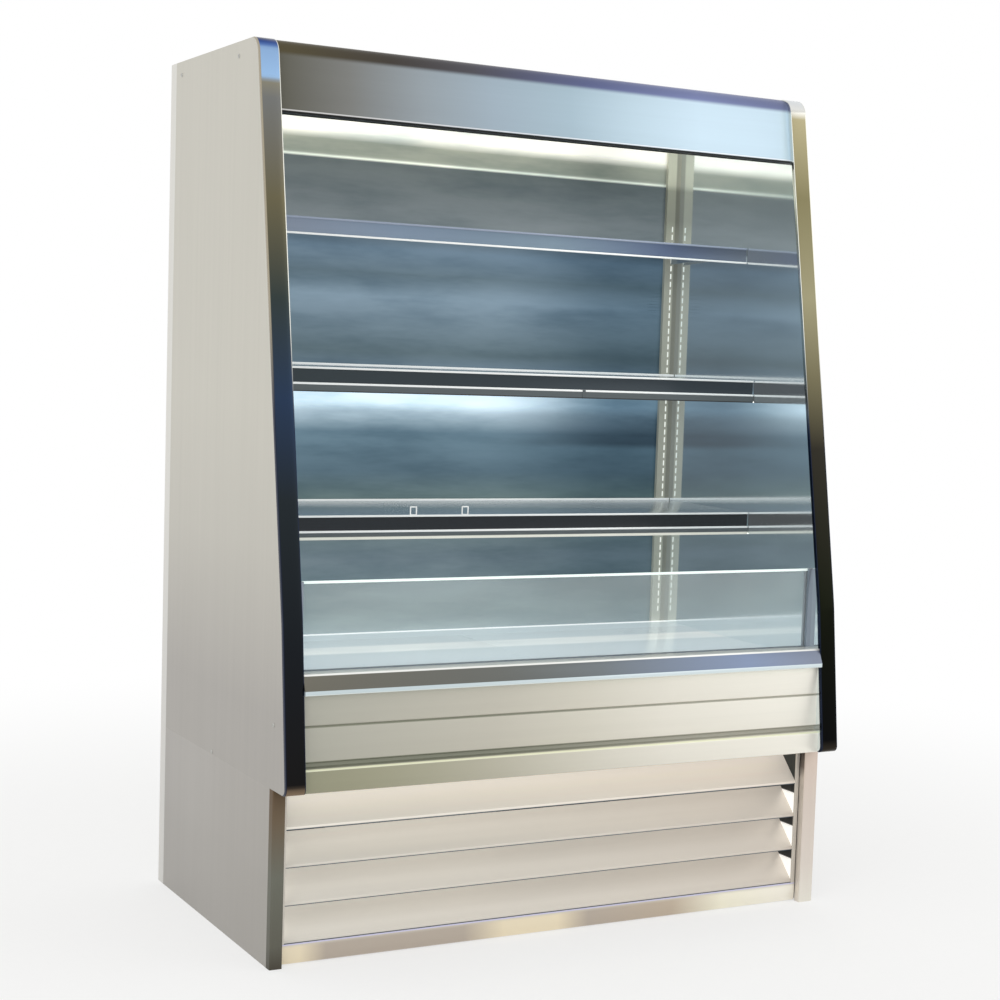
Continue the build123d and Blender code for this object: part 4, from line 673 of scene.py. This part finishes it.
class FRIDGE_OT_canopy(bpy.types.Operator):
    """Finishes the header, ceiling, air grid and canopy lamp"""
    bl_idname = "fridge.canopy"
    bl_label = "Canopy"

    def execute(self, context):
        look = context.scene.fridge_canopy
        left, right = look.fascia_left, look.fascia_right
        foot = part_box("fascia")[0].z

        def header(finish):
            # Painted reflection: dark at the left end of the header and sky-blue at the right, and
            # darker on the bend at the top.
            sweep = finish.gradient("X", [
                (-FRONT_HALF, left), (-0.50, "7c7d7a"), (-0.32, "98a2a9"), (-0.15, "a1b2bf"),
                (0.05, "a5bbc8"), (0.22, "bad0dd"), (0.40, right), (FRONT_HALF, right)])
            bend = finish.gradient("X", [
                (-FRONT_HALF, "4e462b"), (-0.40, "3d3730"), (-0.2, "4c4b52"),
                (0.1, "5a628a"), (0.4, "7781ac"), (FRONT_HALF, "6a7399")])
            tone = finish.mix(finish.past("Z", HEADER_BEND, 0.006), sweep, bend)
            # A painted highlight line near the foot, and painted shadow along the lower edge below it.
            line = finish.mix(0.55, sweep, WHITE)
            tone = finish.mix(finish.band("Z", foot + 0.0050, foot + 0.0070), tone, line)
            return finish.mix(finish.before("Z", foot + 0.0042, 0.0004), tone, "0c0c0c")

        formed("fascia", steel("header_steel", header, "X", 0.36, 0.3, metallic=0.45))
        # The ceiling glows with painted light from the canopy lamp.
        ceiling = steel("ceiling_steel", "e4e5dc", "X", 0.3, 0.2, metallic=0.5, glow=0.3)
        wear(ceiling, "canopy_ceiling")
        wear(plastic("air_grid_plastic", "0e0e0f", 0.6), "air_honeycomb")
        wear(plastic("lamp_holder_plastic", "e8e8e4", 0.35), "lamp_holders")
        self.tube(look)
        return {"FINISHED"}

    @staticmethod
    def tube(look):
        """Fluorescent tube: a lit glass between aluminium caps."""
        cap_length = 0.0313
        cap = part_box("canopy_lamp")[1].x - cap_length
        finish = Finish("canopy_tube", {"Emission Strength": look.lamp_strength, "Roughness": 0.3})
        ends = finish.outside(cap, 0.0003)
        dust = finish.noise((30.0, 30.0, 30.0), 3.0)
        grain = finish.noise(BRUSH["Z"], 2.0)
        finish.set("Base Color", finish.mix(ends, finish.shade("fbfaf5", 0.94, dust),
                                            finish.shade("c9cacb", 0.8, grain)))
        finish.set("Metallic", ends)
        finish.set("Emission Color", finish.mix(ends, finish.shade(look.lamp, 0.96, dust), BLACK))
        wear(finish.material, "canopy_lamp")


class FRIDGE_OT_interior(bpy.types.Operator):
    """Finishes the back wall, side liners, uprights and deck"""
    bl_idname = "fridge.interior"
    bl_label = "Interior"

    def execute(self, context):
        look = context.scene.fridge_interior

        def wall(finish):
            # Painted lamp light in bands below the shelves, painted shade between the top shelf and the
            # seam, a painted highlight on the seam and painted lamp light above it.
            tone = finish.gradient("Z", [
                (0.57, "8b9ba0"), (0.66, "7a8b8e"), (0.80, "6f7d85"), (0.94, "6b7d7b"),
                (1.02, "536a77"), (1.12, "66808f"), (1.195, "d3e7f3"), (1.23, "daedf8"),
                (1.26, "6d8090"), (1.32, "586a72"), (1.458, "7b8f9e"), (1.515, "61747f"),
                (1.575, "798fa1"), (1.64, "6c7478"), (1.788, "50585b"), (1.7915, "e0e4da"),
                (1.794, "dfe3da"), (1.797, "7e837b"), (1.832, "84887f"), (1.855, "f6f4ee"),
                (1.884, "f8f6f0")])
            # Towards the right and below the top shelf, painted shade darkens the wall, most in the
            # band of lamp light under the middle shelf.
            dark = finish.mix(finish.band("Z", 1.10, 1.26, 0.02), "c9d4da", "7d8d98")
            low = finish.before("Z", 1.63, 0.03)
            dim = finish.mix(1.0, tone, dark, "MULTIPLY")
            tone = finish.mix(finish.step("X", 0.05, 0.50) * low, tone, dim)
            mist = finish.noise((2.6, 2.6, 13.0), 4.0, 0.6)
            veil = finish.ramp(mist, [(0.30, "c6d0d4"), (0.55, "f2f4f4"), (0.72, WHITE)])
            return finish.mix(1.0, tone, veil, "MULTIPLY")

        def shine(finish, tone):
            """Lamp light on the wall, and the lit duct behind the slots of the uprights."""
            strength = finish.band("Z", 1.195, 1.232, 0.03) * 0.4 + look.wall_glow
            return finish.mix(finish.outside(UPRIGHT_INNER), finish.times(tone, strength), "eef2ea")

        material = steel("back_wall_steel", wall, "X", 0.28, 0.2, metallic=0.5, glow=shine)
        wear(material, "back_panel_lower", "back_panel_upper", "back_panel_top")
        # The side liners glow faintly: painted lamp light.
        liner = steel("side_liner_steel", look.liner, "Z", 0.07, 0.08, 0.1, glow=0.07)
        wear(liner, "end_liner_left", "end_liner_right")
        self.uprights(look)
        self.deck(look)
        tub = steel("tub_steel", "9fa6a6", "X", 0.35, 0.3, metallic=0.5)
        wear(tub, "inner_liner", "deck_supports")
        wear(plastic("insulation_foam", "d9cfa4", 0.9, 0.6), "insulation")
        return {"FINISHED"}

    @staticmethod
    def uprights(look):
        """Slotted channels; the light of the duct shows in their slots."""
        def tall(finish):
            # Painted shade between the top shelf and the seam and painted lamp light above it, as on
            # the wall; painted shade darkens each upright beside the side liner.
            tone = finish.gradient("Z", [
                (0.60, "aeb2a6"), (0.95, look.upright), (1.62, look.upright), (1.67, "9a9c8f"),
                (1.70, "888a7e"), (1.780, "888a7e"), (1.795, "b4b5a6"), (1.884, "c4c5b6")])
            return finish.shade(tone, 0.55, finish.outside(UPRIGHT_SHADE, 0.0025))

        wear(steel("upright_steel", tall, "Z", 0.34, 0.2, metallic=0.4, glow=0.25), "uprights")

    @staticmethod
    def deck(look):
        """Deck pans with a warm band of painted light across them, the strip behind them and the
        grille.
        """
        def sheet(finish):
            # A warm, blotchy band of painted light across the pans.
            warm = finish.band("Y", 0.02, 0.09, 0.03)
            mist = finish.noise((3.0, 8.0, 3.0), 3.0)
            tone = finish.mix(warm * mist, look.deck, (1.3, 1.28, 1.2))
            return finish.mix(finish.past("Y", DECK_REAR, 0.003), tone, (1.6, 1.6, 1.6))

        deck = steel("deck_steel", sheet, "X", 0.16, 0.12, metallic=0.3, glow=look.deck_glow)
        for node in ("deck_pan_left", "deck_pan_right"):
            formed(node, deck, [(at("Z", DECK_TOP), 0.0012)])
        wear(deck, "deck_rear_cover", "return_grille")


class FRIDGE_OT_shelves(bpy.types.Operator):
    """Finishes the shelves, their brackets, ticket rails and lamps"""
    bl_idname = "fridge.shelves"
    bl_label = "Shelves"

    def execute(self, context):
        look = context.scene.fridge_shelves
        # The shelves and their stop lips glow a little: painted lamp light.
        sheet = steel("shelf_steel", look.sheet, "X", 0.18, 0.15, metallic=0.6, glow=0.12)
        lip = steel("shelf_lip_steel", "eef1ef", "X", 0.3, 0.1, metallic=0.3, glow=0.3)
        lip_thickness, lip_height = 0.0014, 0.0055
        for number in SHELVES:
            low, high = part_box(f"shelf_pan_{number}")
            folds = [(both(at("Z", high.z), at("Y", low.y)), 0.0015),
                     (both(at("Z", high.z), at("X", high.x)), 0.0012)]
            formed(f"shelf_pan_{number}", sheet, folds)
            stop = bar(f"shelf_stop_{number}", (low.x, high.y - lip_thickness, high.z),
                       (high.x, high.y, high.z + lip_height), 0.0004)
            placed(stop, lip, f"shelf_{number}", "shelf_steel")
        wear(sheet, "shelf_brackets_1", "shelf_brackets_2", "shelf_brackets_3")
        # The face of the top rail, seen from below, is a blue-grey painted reflection, darker towards
        # the right; the lower two are dark.
        faces = {
            1: [(-INNER_HALF, "8791a2"), (-0.30, "7d8fa4"), (0.10, "748898"), (0.42, "4d5d7b"),
                (INNER_HALF, "5f6977")],
            2: [(-INNER_HALF, "2b363b"), (INNER_HALF, "263139")],
            3: [(-INNER_HALF, "1a2127"), (INNER_HALF, "141b20")],
        }
        for number, stops in faces.items():
            self.rail(number, stops)
        for number in (2, 3):
            self.lamp(number, look.lamp_strength)
        return {"FINISHED"}

    @staticmethod
    def rail(number, stops):
        """Ticket rail with painted highlights on the lips above and below its face; on the top rail the
        upper lip is a blue-grey painted reflection instead.
        """
        foot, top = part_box(f"price_rail_{number}")[0].z, SHELF_TOPS[number]
        lip = 0.0047

        def face(finish):
            tone = finish.gradient("X", stops)
            above = "95a1b4" if number == 1 else "f2f5f4"
            tone = finish.mix(finish.past("Z", top - lip), tone, above)
            return finish.mix(finish.before("Z", foot + lip), tone, "f6f9f8")

        material = steel(f"ticket_rail_steel_{number}", face, "X", 0.24, 0.2, metallic=0.4)
        formed(f"price_rail_{number}", material)

    @staticmethod
    def lamp(number, strength):
        """Slim lamp: a channel dark with painted shade, with a lit strip in its underside."""
        node = f"shelf_lamp_{number}"
        low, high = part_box(node)
        channel = 0.024
        front = high.y - channel
        finish = Finish(f"shelf_lamp_finish_{number}", {"Emission Strength": strength})
        inside = finish.band("Y", front + 0.0022, high.y - 0.0012, 0.0004)
        lit = inside * finish.before("Z", low.z + 0.0027, 0.0003)
        grain = finish.noise(BRUSH["X"], 2.0)
        face = finish.shade("565f62", 0.7, grain)
        # The lower edge: a painted highlight on the lowest lamp, painted shade on the other.
        if number == 3:
            face = finish.mix(finish.before("Z", low.z + 0.0063), face, "efeee2")
        else:
            face = finish.mix(finish.before("Z", low.z + 0.0025), face, "15191c")
        finish.set("Base Color", finish.mix(lit, face, "fbfaf2"))
        finish.set("Roughness", grain * 0.1 + 0.35)
        finish.set("Emission Color", finish.mix(lit, BLACK, "fffbf0"))
        wear(finish.material, node)


class FRIDGE_OT_front(bpy.types.Operator):
    """Finishes the glass riser, its channel, the bumper and the front panel"""
    bl_idname = "fridge.front"
    bl_label = "Front edge"

    def execute(self, context):
        look = context.scene.fridge_front
        self.panel(look)
        self.bumper(look)
        self.glass(look)
        return {"FINISHED"}

    @staticmethod
    def panel(look):
        """Front panel, painted lighter towards the right: a skirt below the bend, darker at the left
        with painted shade, a painted shadow above the bend with a painted highlight along it, and a
        crease higher up dark with painted shade.
        """
        left, right = look.panel_left, look.panel_right
        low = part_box("front_panel")[0]

        def sheet(finish):
            # Painted light across the sheet: darker at the left end, lighter at the right.
            tone = finish.gradient("X", [(-FRONT_HALF, left), (-0.2, "c3bfb2"), (0.0, "d2cec0"),
                                         (0.25, "e6e2d6"), (FRONT_HALF, right)])
            skirt = finish.mix(finish.step("X", -0.6, 0.1), "dcdcc8", WHITE)
            skirt = finish.mix(1.0, tone, skirt, "MULTIPLY")
            tone = finish.mix(finish.before("Z", PANEL_BEND - 0.0002, 0.0003), tone, skirt)
            dark = finish.mix(finish.step("X", -0.4, 0.5), "8a8c7c", "b3b1a4")
            shadow = finish.band("Z", PANEL_BEND + 0.0050, PANEL_BEND + 0.0185)
            tone = finish.mix(shadow, tone, dark)
            tone = finish.mix(finish.band("Z", PANEL_CREASE, PANEL_CREASE + 0.0035), tone, dark)
            shine = finish.band("Z", PANEL_BEND + 0.0005, PANEL_BEND + 0.0035)
            return finish.mix(shine * 0.8, tone, "f0f2cf")

        panel = steel("front_panel_steel", sheet, "X", 0.38, 0.3, metallic=0.35, glow=0.06)
        folds = [(both(at("Y", low.y), at("Z", low.z, PANEL_BEND)), 0.0015)]
        formed("front_panel", panel, folds, edge=0.0002)

    @staticmethod
    def bumper(look):
        """Bumper rail: a sloping top and a pale nose below it, both painted reflections, with painted
        highlights along its top and foot, and the channel of the glass behind it.
        """
        low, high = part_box("bumper")
        nose = low.z + NOSE_HEIGHT

        def rail(finish):
            # Painted reflections: dark on the sloping top, pale on the nose, with painted highlight
            # lines at the top and the foot.
            slope = finish.gradient("X", [
                (-FRONT_HALF, "6d6a5f"), (-0.2, "6a6c68"), (0.05, "697074"), (0.45, "7b8aa6"),
                (FRONT_HALF, "81899b")])
            face = finish.mix(finish.step("X", -0.5, 0.3), "cad8dc", "dae7eb")
            tone = finish.mix(finish.before("Z", nose), slope, face)
            line = finish.step("Z", high.z - 0.0045, high.z - 0.0030)
            tone = finish.mix(line, tone, "f6f7f2")
            return finish.mix(finish.before("Z", low.z + 0.0020), tone, "f2fbfb")

        rail_steel = steel("bumper_aluminium", rail, "X", 0.24, 0.2, metallic=0.45)
        folds = [(both(at("Y", low.y), at("Z", low.z, nose)), 0.0025)]
        formed("bumper", rail_steel, folds, edge=0.0004)
        channel = steel("channel_aluminium", look.bumper, "X", 0.24, 0.2, metallic=0.5)
        wear(channel, "riser_channel")

    @staticmethod
    def glass(look):
        """Glass pane and its ground top edge, pale and made bright with painted light."""
        low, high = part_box("glass_riser")
        ground_height = 0.0055
        ground = high.z - ground_height
        finish = Finish("riser_glass", {"IOR": 1.5})
        smear = finish.noise((6.0, 6.0, 2.0), 3.0)
        finish.set("Base Color", finish.shade(look.glass, 0.9, smear))
        finish.set("Roughness", smear * 0.03 + 0.01)
        finish.set("Alpha", smear * 0.08 + (look.glass_veil - 0.04))
        pane = bar("glass_pane", low, (high.x, high.y, ground), 0.0006)
        placed(pane, finish.material, "glass_riser", "glass", "glass_riser")
        # The ground edge glows a little: painted light.
        edge = plastic("ground_glass_edge", "eef8f4", 0.35, 0.1, "dff2ec", 0.35)
        rim = bar("glass_ground_edge", (low.x, low.y, ground), high, 0.0008)
        placed(rim, edge, "glass_riser", "glass", "glass_riser")


class FRIDGE_OT_base(bpy.types.Operator):
    """Finishes the louvred front and the cable gland"""
    bl_idname = "fridge.base"
    bl_label = "Base"

    def execute(self, context):
        look = context.scene.fridge_base
        kick, slat = look.kick, look.louvre
        left_end, right_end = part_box("louvre_frame")
        left_cheek, right_cheek = left_end.x + CHEEK, right_end.x - CHEEK

        def up_slat(finish):
            """How far up its slat a point is, from 0 at the lip to 1 at the next one."""
            height = (finish.along("Z") - KICK_TOP) / SLAT_PITCH
            return height.math("FRACT", height, 0.0)

        def cheeks(finish):
            """1 on the inner faces of the frame's two ends, behind its front."""
            inner = (finish.band("X", left_cheek - 0.0006, left_cheek + 0.0004, 0.0002)
                     + finish.band("X", right_cheek - 0.0004, right_cheek + 0.0006, 0.0002))
            return inner * finish.past("Y", left_end.y + 0.0038)

        def surround(finish):
            """Kick plate in soft stripes of painted light with a painted highlight along its top, and
            cheeks with painted light beside the lower part of each slat and painted shade beside the
            rest and above the top slat.
            """
            grey, cream = "b8aea4", "f1e5ca"
            pale = finish.gradient("X", [
                (-0.63, cream), (-0.57, grey), (-0.24, grey), (-0.14, cream), (0.0, cream),
                (0.08, grey), (0.31, "c2b4a3"), (0.45, "f7f4e1"), (INNER_HALF, "fbf8ee")])
            pale = finish.mix(0.12, pale, kick)
            tone = finish.mix(finish.step("Z", KICK_TOP - 0.010, KICK_TOP), pale, slat)
            # A painted highlight along the top of the kick plate.
            kick_top_highlight = finish.past("Z", KICK_TOP - 0.003) * finish.before("Z", KICK_TOP)
            tone = finish.mix(kick_top_highlight, tone, "cfcde6")
            # Cheeks: painted light beside the lower part of each slat, painted shade beside the rest
            # and above the top slat.
            corner = finish.mix(finish.until(up_slat(finish), 0.70, 0.74), "16191a", "fbfbf8")
            above = finish.step("Z", TOP_SLAT - 0.005, TOP_SLAT + 0.002)
            corner = finish.mix(above, corner, "1d2220")
            return finish.mix(cheeks(finish), tone, corner)

        def surround_light(finish, tone):
            """Light on the white cheeks, and a little on the kick plate."""
            return finish.times(tone, cheeks(finish) * 0.5 + 0.08)

        def blades(finish):
            """Slats with a painted shadow along each lip."""
            along = finish.gradient("X", [
                (-INNER_HALF, "e8e4da"), (0.0, "e6e0d5"), (INNER_HALF, "e0d6ca")])
            tone = finish.mix(0.4, along, slat)
            return finish.mix(finish.until(up_slat(finish), 0.015, 0.03), tone, "3c4c58")

        def blade_light(finish, tone):
            """Light that the polished slats gather towards their upper, shaded edges."""
            low, middle, high = [(v, v, v) for v in (0.05, 0.26, 0.48)]
            lit = finish.ramp(up_slat(finish), [(0.08, low), (0.45, middle), (0.80, high)])
            top = finish.mix(finish.past("Z", TOP_SLAT, 0.005), BLACK, middle)
            return finish.mix(1.0, finish.mix(1.0, lit, top, "ADD"), tone, "MULTIPLY")

        formed("louvre_frame",
               steel("louvre_steel", surround, "X", 0.45, 0.3, metallic=0.4, glow=surround_light))
        formed("louvre_slats",
               steel("slat_steel", blades, "X", 0.45, 0.3, metallic=0.3, glow=blade_light))
        wear(plastic("gland_plastic", "1c1c1e", 0.5, 0.3), "cable_gland")
        return {"FINISHED"}


class FRIDGE_OT_machinery(bpy.types.Operator):
    """Finishes the base frame, the refrigeration parts and the control box"""
    bl_idname = "fridge.machinery"
    bl_label = "Machinery"

    def execute(self, context):
        wear(plastic("frame_enamel", "4a4c4c", 0.5, 0.3), "base_frame")
        wear(plastic("compressor_enamel", "1b1b1c", 0.35, 0.2), "compressor")
        wear(plastic("fan_plastic", "222325", 0.5, 0.2), "condenser_fan", "evaporator_fan_left",
             "evaporator_fan_right")
        wear(steel("galvanised_steel", "9ea3a3", "X", 0.42, 0.2, 0.6), "condenser_shroud",
             "evaporator_fan_plate", "control_box")
        wear(plastic("pan_plastic", "2c2c2e", 0.5, 0.2), "condensate_pan")
        wear(steel("coil_aluminium", "c3c6c7", "Z", 0.3, 0.6), "condenser_coil", "evaporator_coil")
        wear(steel("copper_pipe", "c27a52", "X", 0.25, 0.2, 0.6), "pipework")
        wear(plastic("knob_plastic", "2a2a2c", 0.4, 0.15), "thermostat_knob", "light_switch")
        return {"FINISHED"}


class FRIDGE_PT_panel(bpy.types.Panel):
    """Lists the steps that dress the fridge"""
    bl_idname = "FRIDGE_PT_panel"
    bl_label = "Display fridge"
    bl_space_type = "VIEW_3D"
    bl_region_type = "UI"
    bl_category = "Fridge"

    def draw(self, context):
        for step, group in STEPS:
            box = self.layout.box()
            box.operator(step.bl_idname)
            if group:
                settings = getattr(context.scene, group)
                for name in settings.bl_rna.properties.keys():
                    if name not in ("rna_type", "name"):
                        box.prop(settings, name)


GROUPS = {
    "fridge_studio": FridgeStudio,
    "fridge_casing": FridgeCasing,
    "fridge_canopy": FridgeCanopy,
    "fridge_interior": FridgeInterior,
    "fridge_shelves": FridgeShelves,
    "fridge_front": FridgeFront,
    "fridge_base": FridgeBase,
}
STEPS = (
    (FRIDGE_OT_stage, "fridge_studio"),
    (FRIDGE_OT_casing, "fridge_casing"),
    (FRIDGE_OT_canopy, "fridge_canopy"),
    (FRIDGE_OT_interior, "fridge_interior"),
    (FRIDGE_OT_shelves, "fridge_shelves"),
    (FRIDGE_OT_front, "fridge_front"),
    (FRIDGE_OT_base, "fridge_base"),
    (FRIDGE_OT_machinery, None),
)


def register():
    for group in GROUPS.values():
        bpy.utils.register_class(group)
    for step, _ in STEPS:
        bpy.utils.register_class(step)
    bpy.utils.register_class(FRIDGE_PT_panel)
    for name, group in GROUPS.items():
        setattr(bpy.types.Scene, name, bpy.props.PointerProperty(type=group))


def unregister():
    for name in GROUPS:
        delattr(bpy.types.Scene, name)
    bpy.utils.unregister_class(FRIDGE_PT_panel)
    for step, _ in reversed(STEPS):
        bpy.utils.unregister_class(step)
    for group in reversed(list(GROUPS.values())):
        bpy.utils.unregister_class(group)


def main():
    register()
    bpy.ops.fridge.stage()
    bpy.ops.fridge.casing()
    bpy.ops.fridge.canopy()
    bpy.ops.fridge.interior()
    bpy.ops.fridge.shelves()
    bpy.ops.fridge.front()
    bpy.ops.fridge.base()
    bpy.ops.fridge.machinery()


if __name__ == "__main__":
    main()
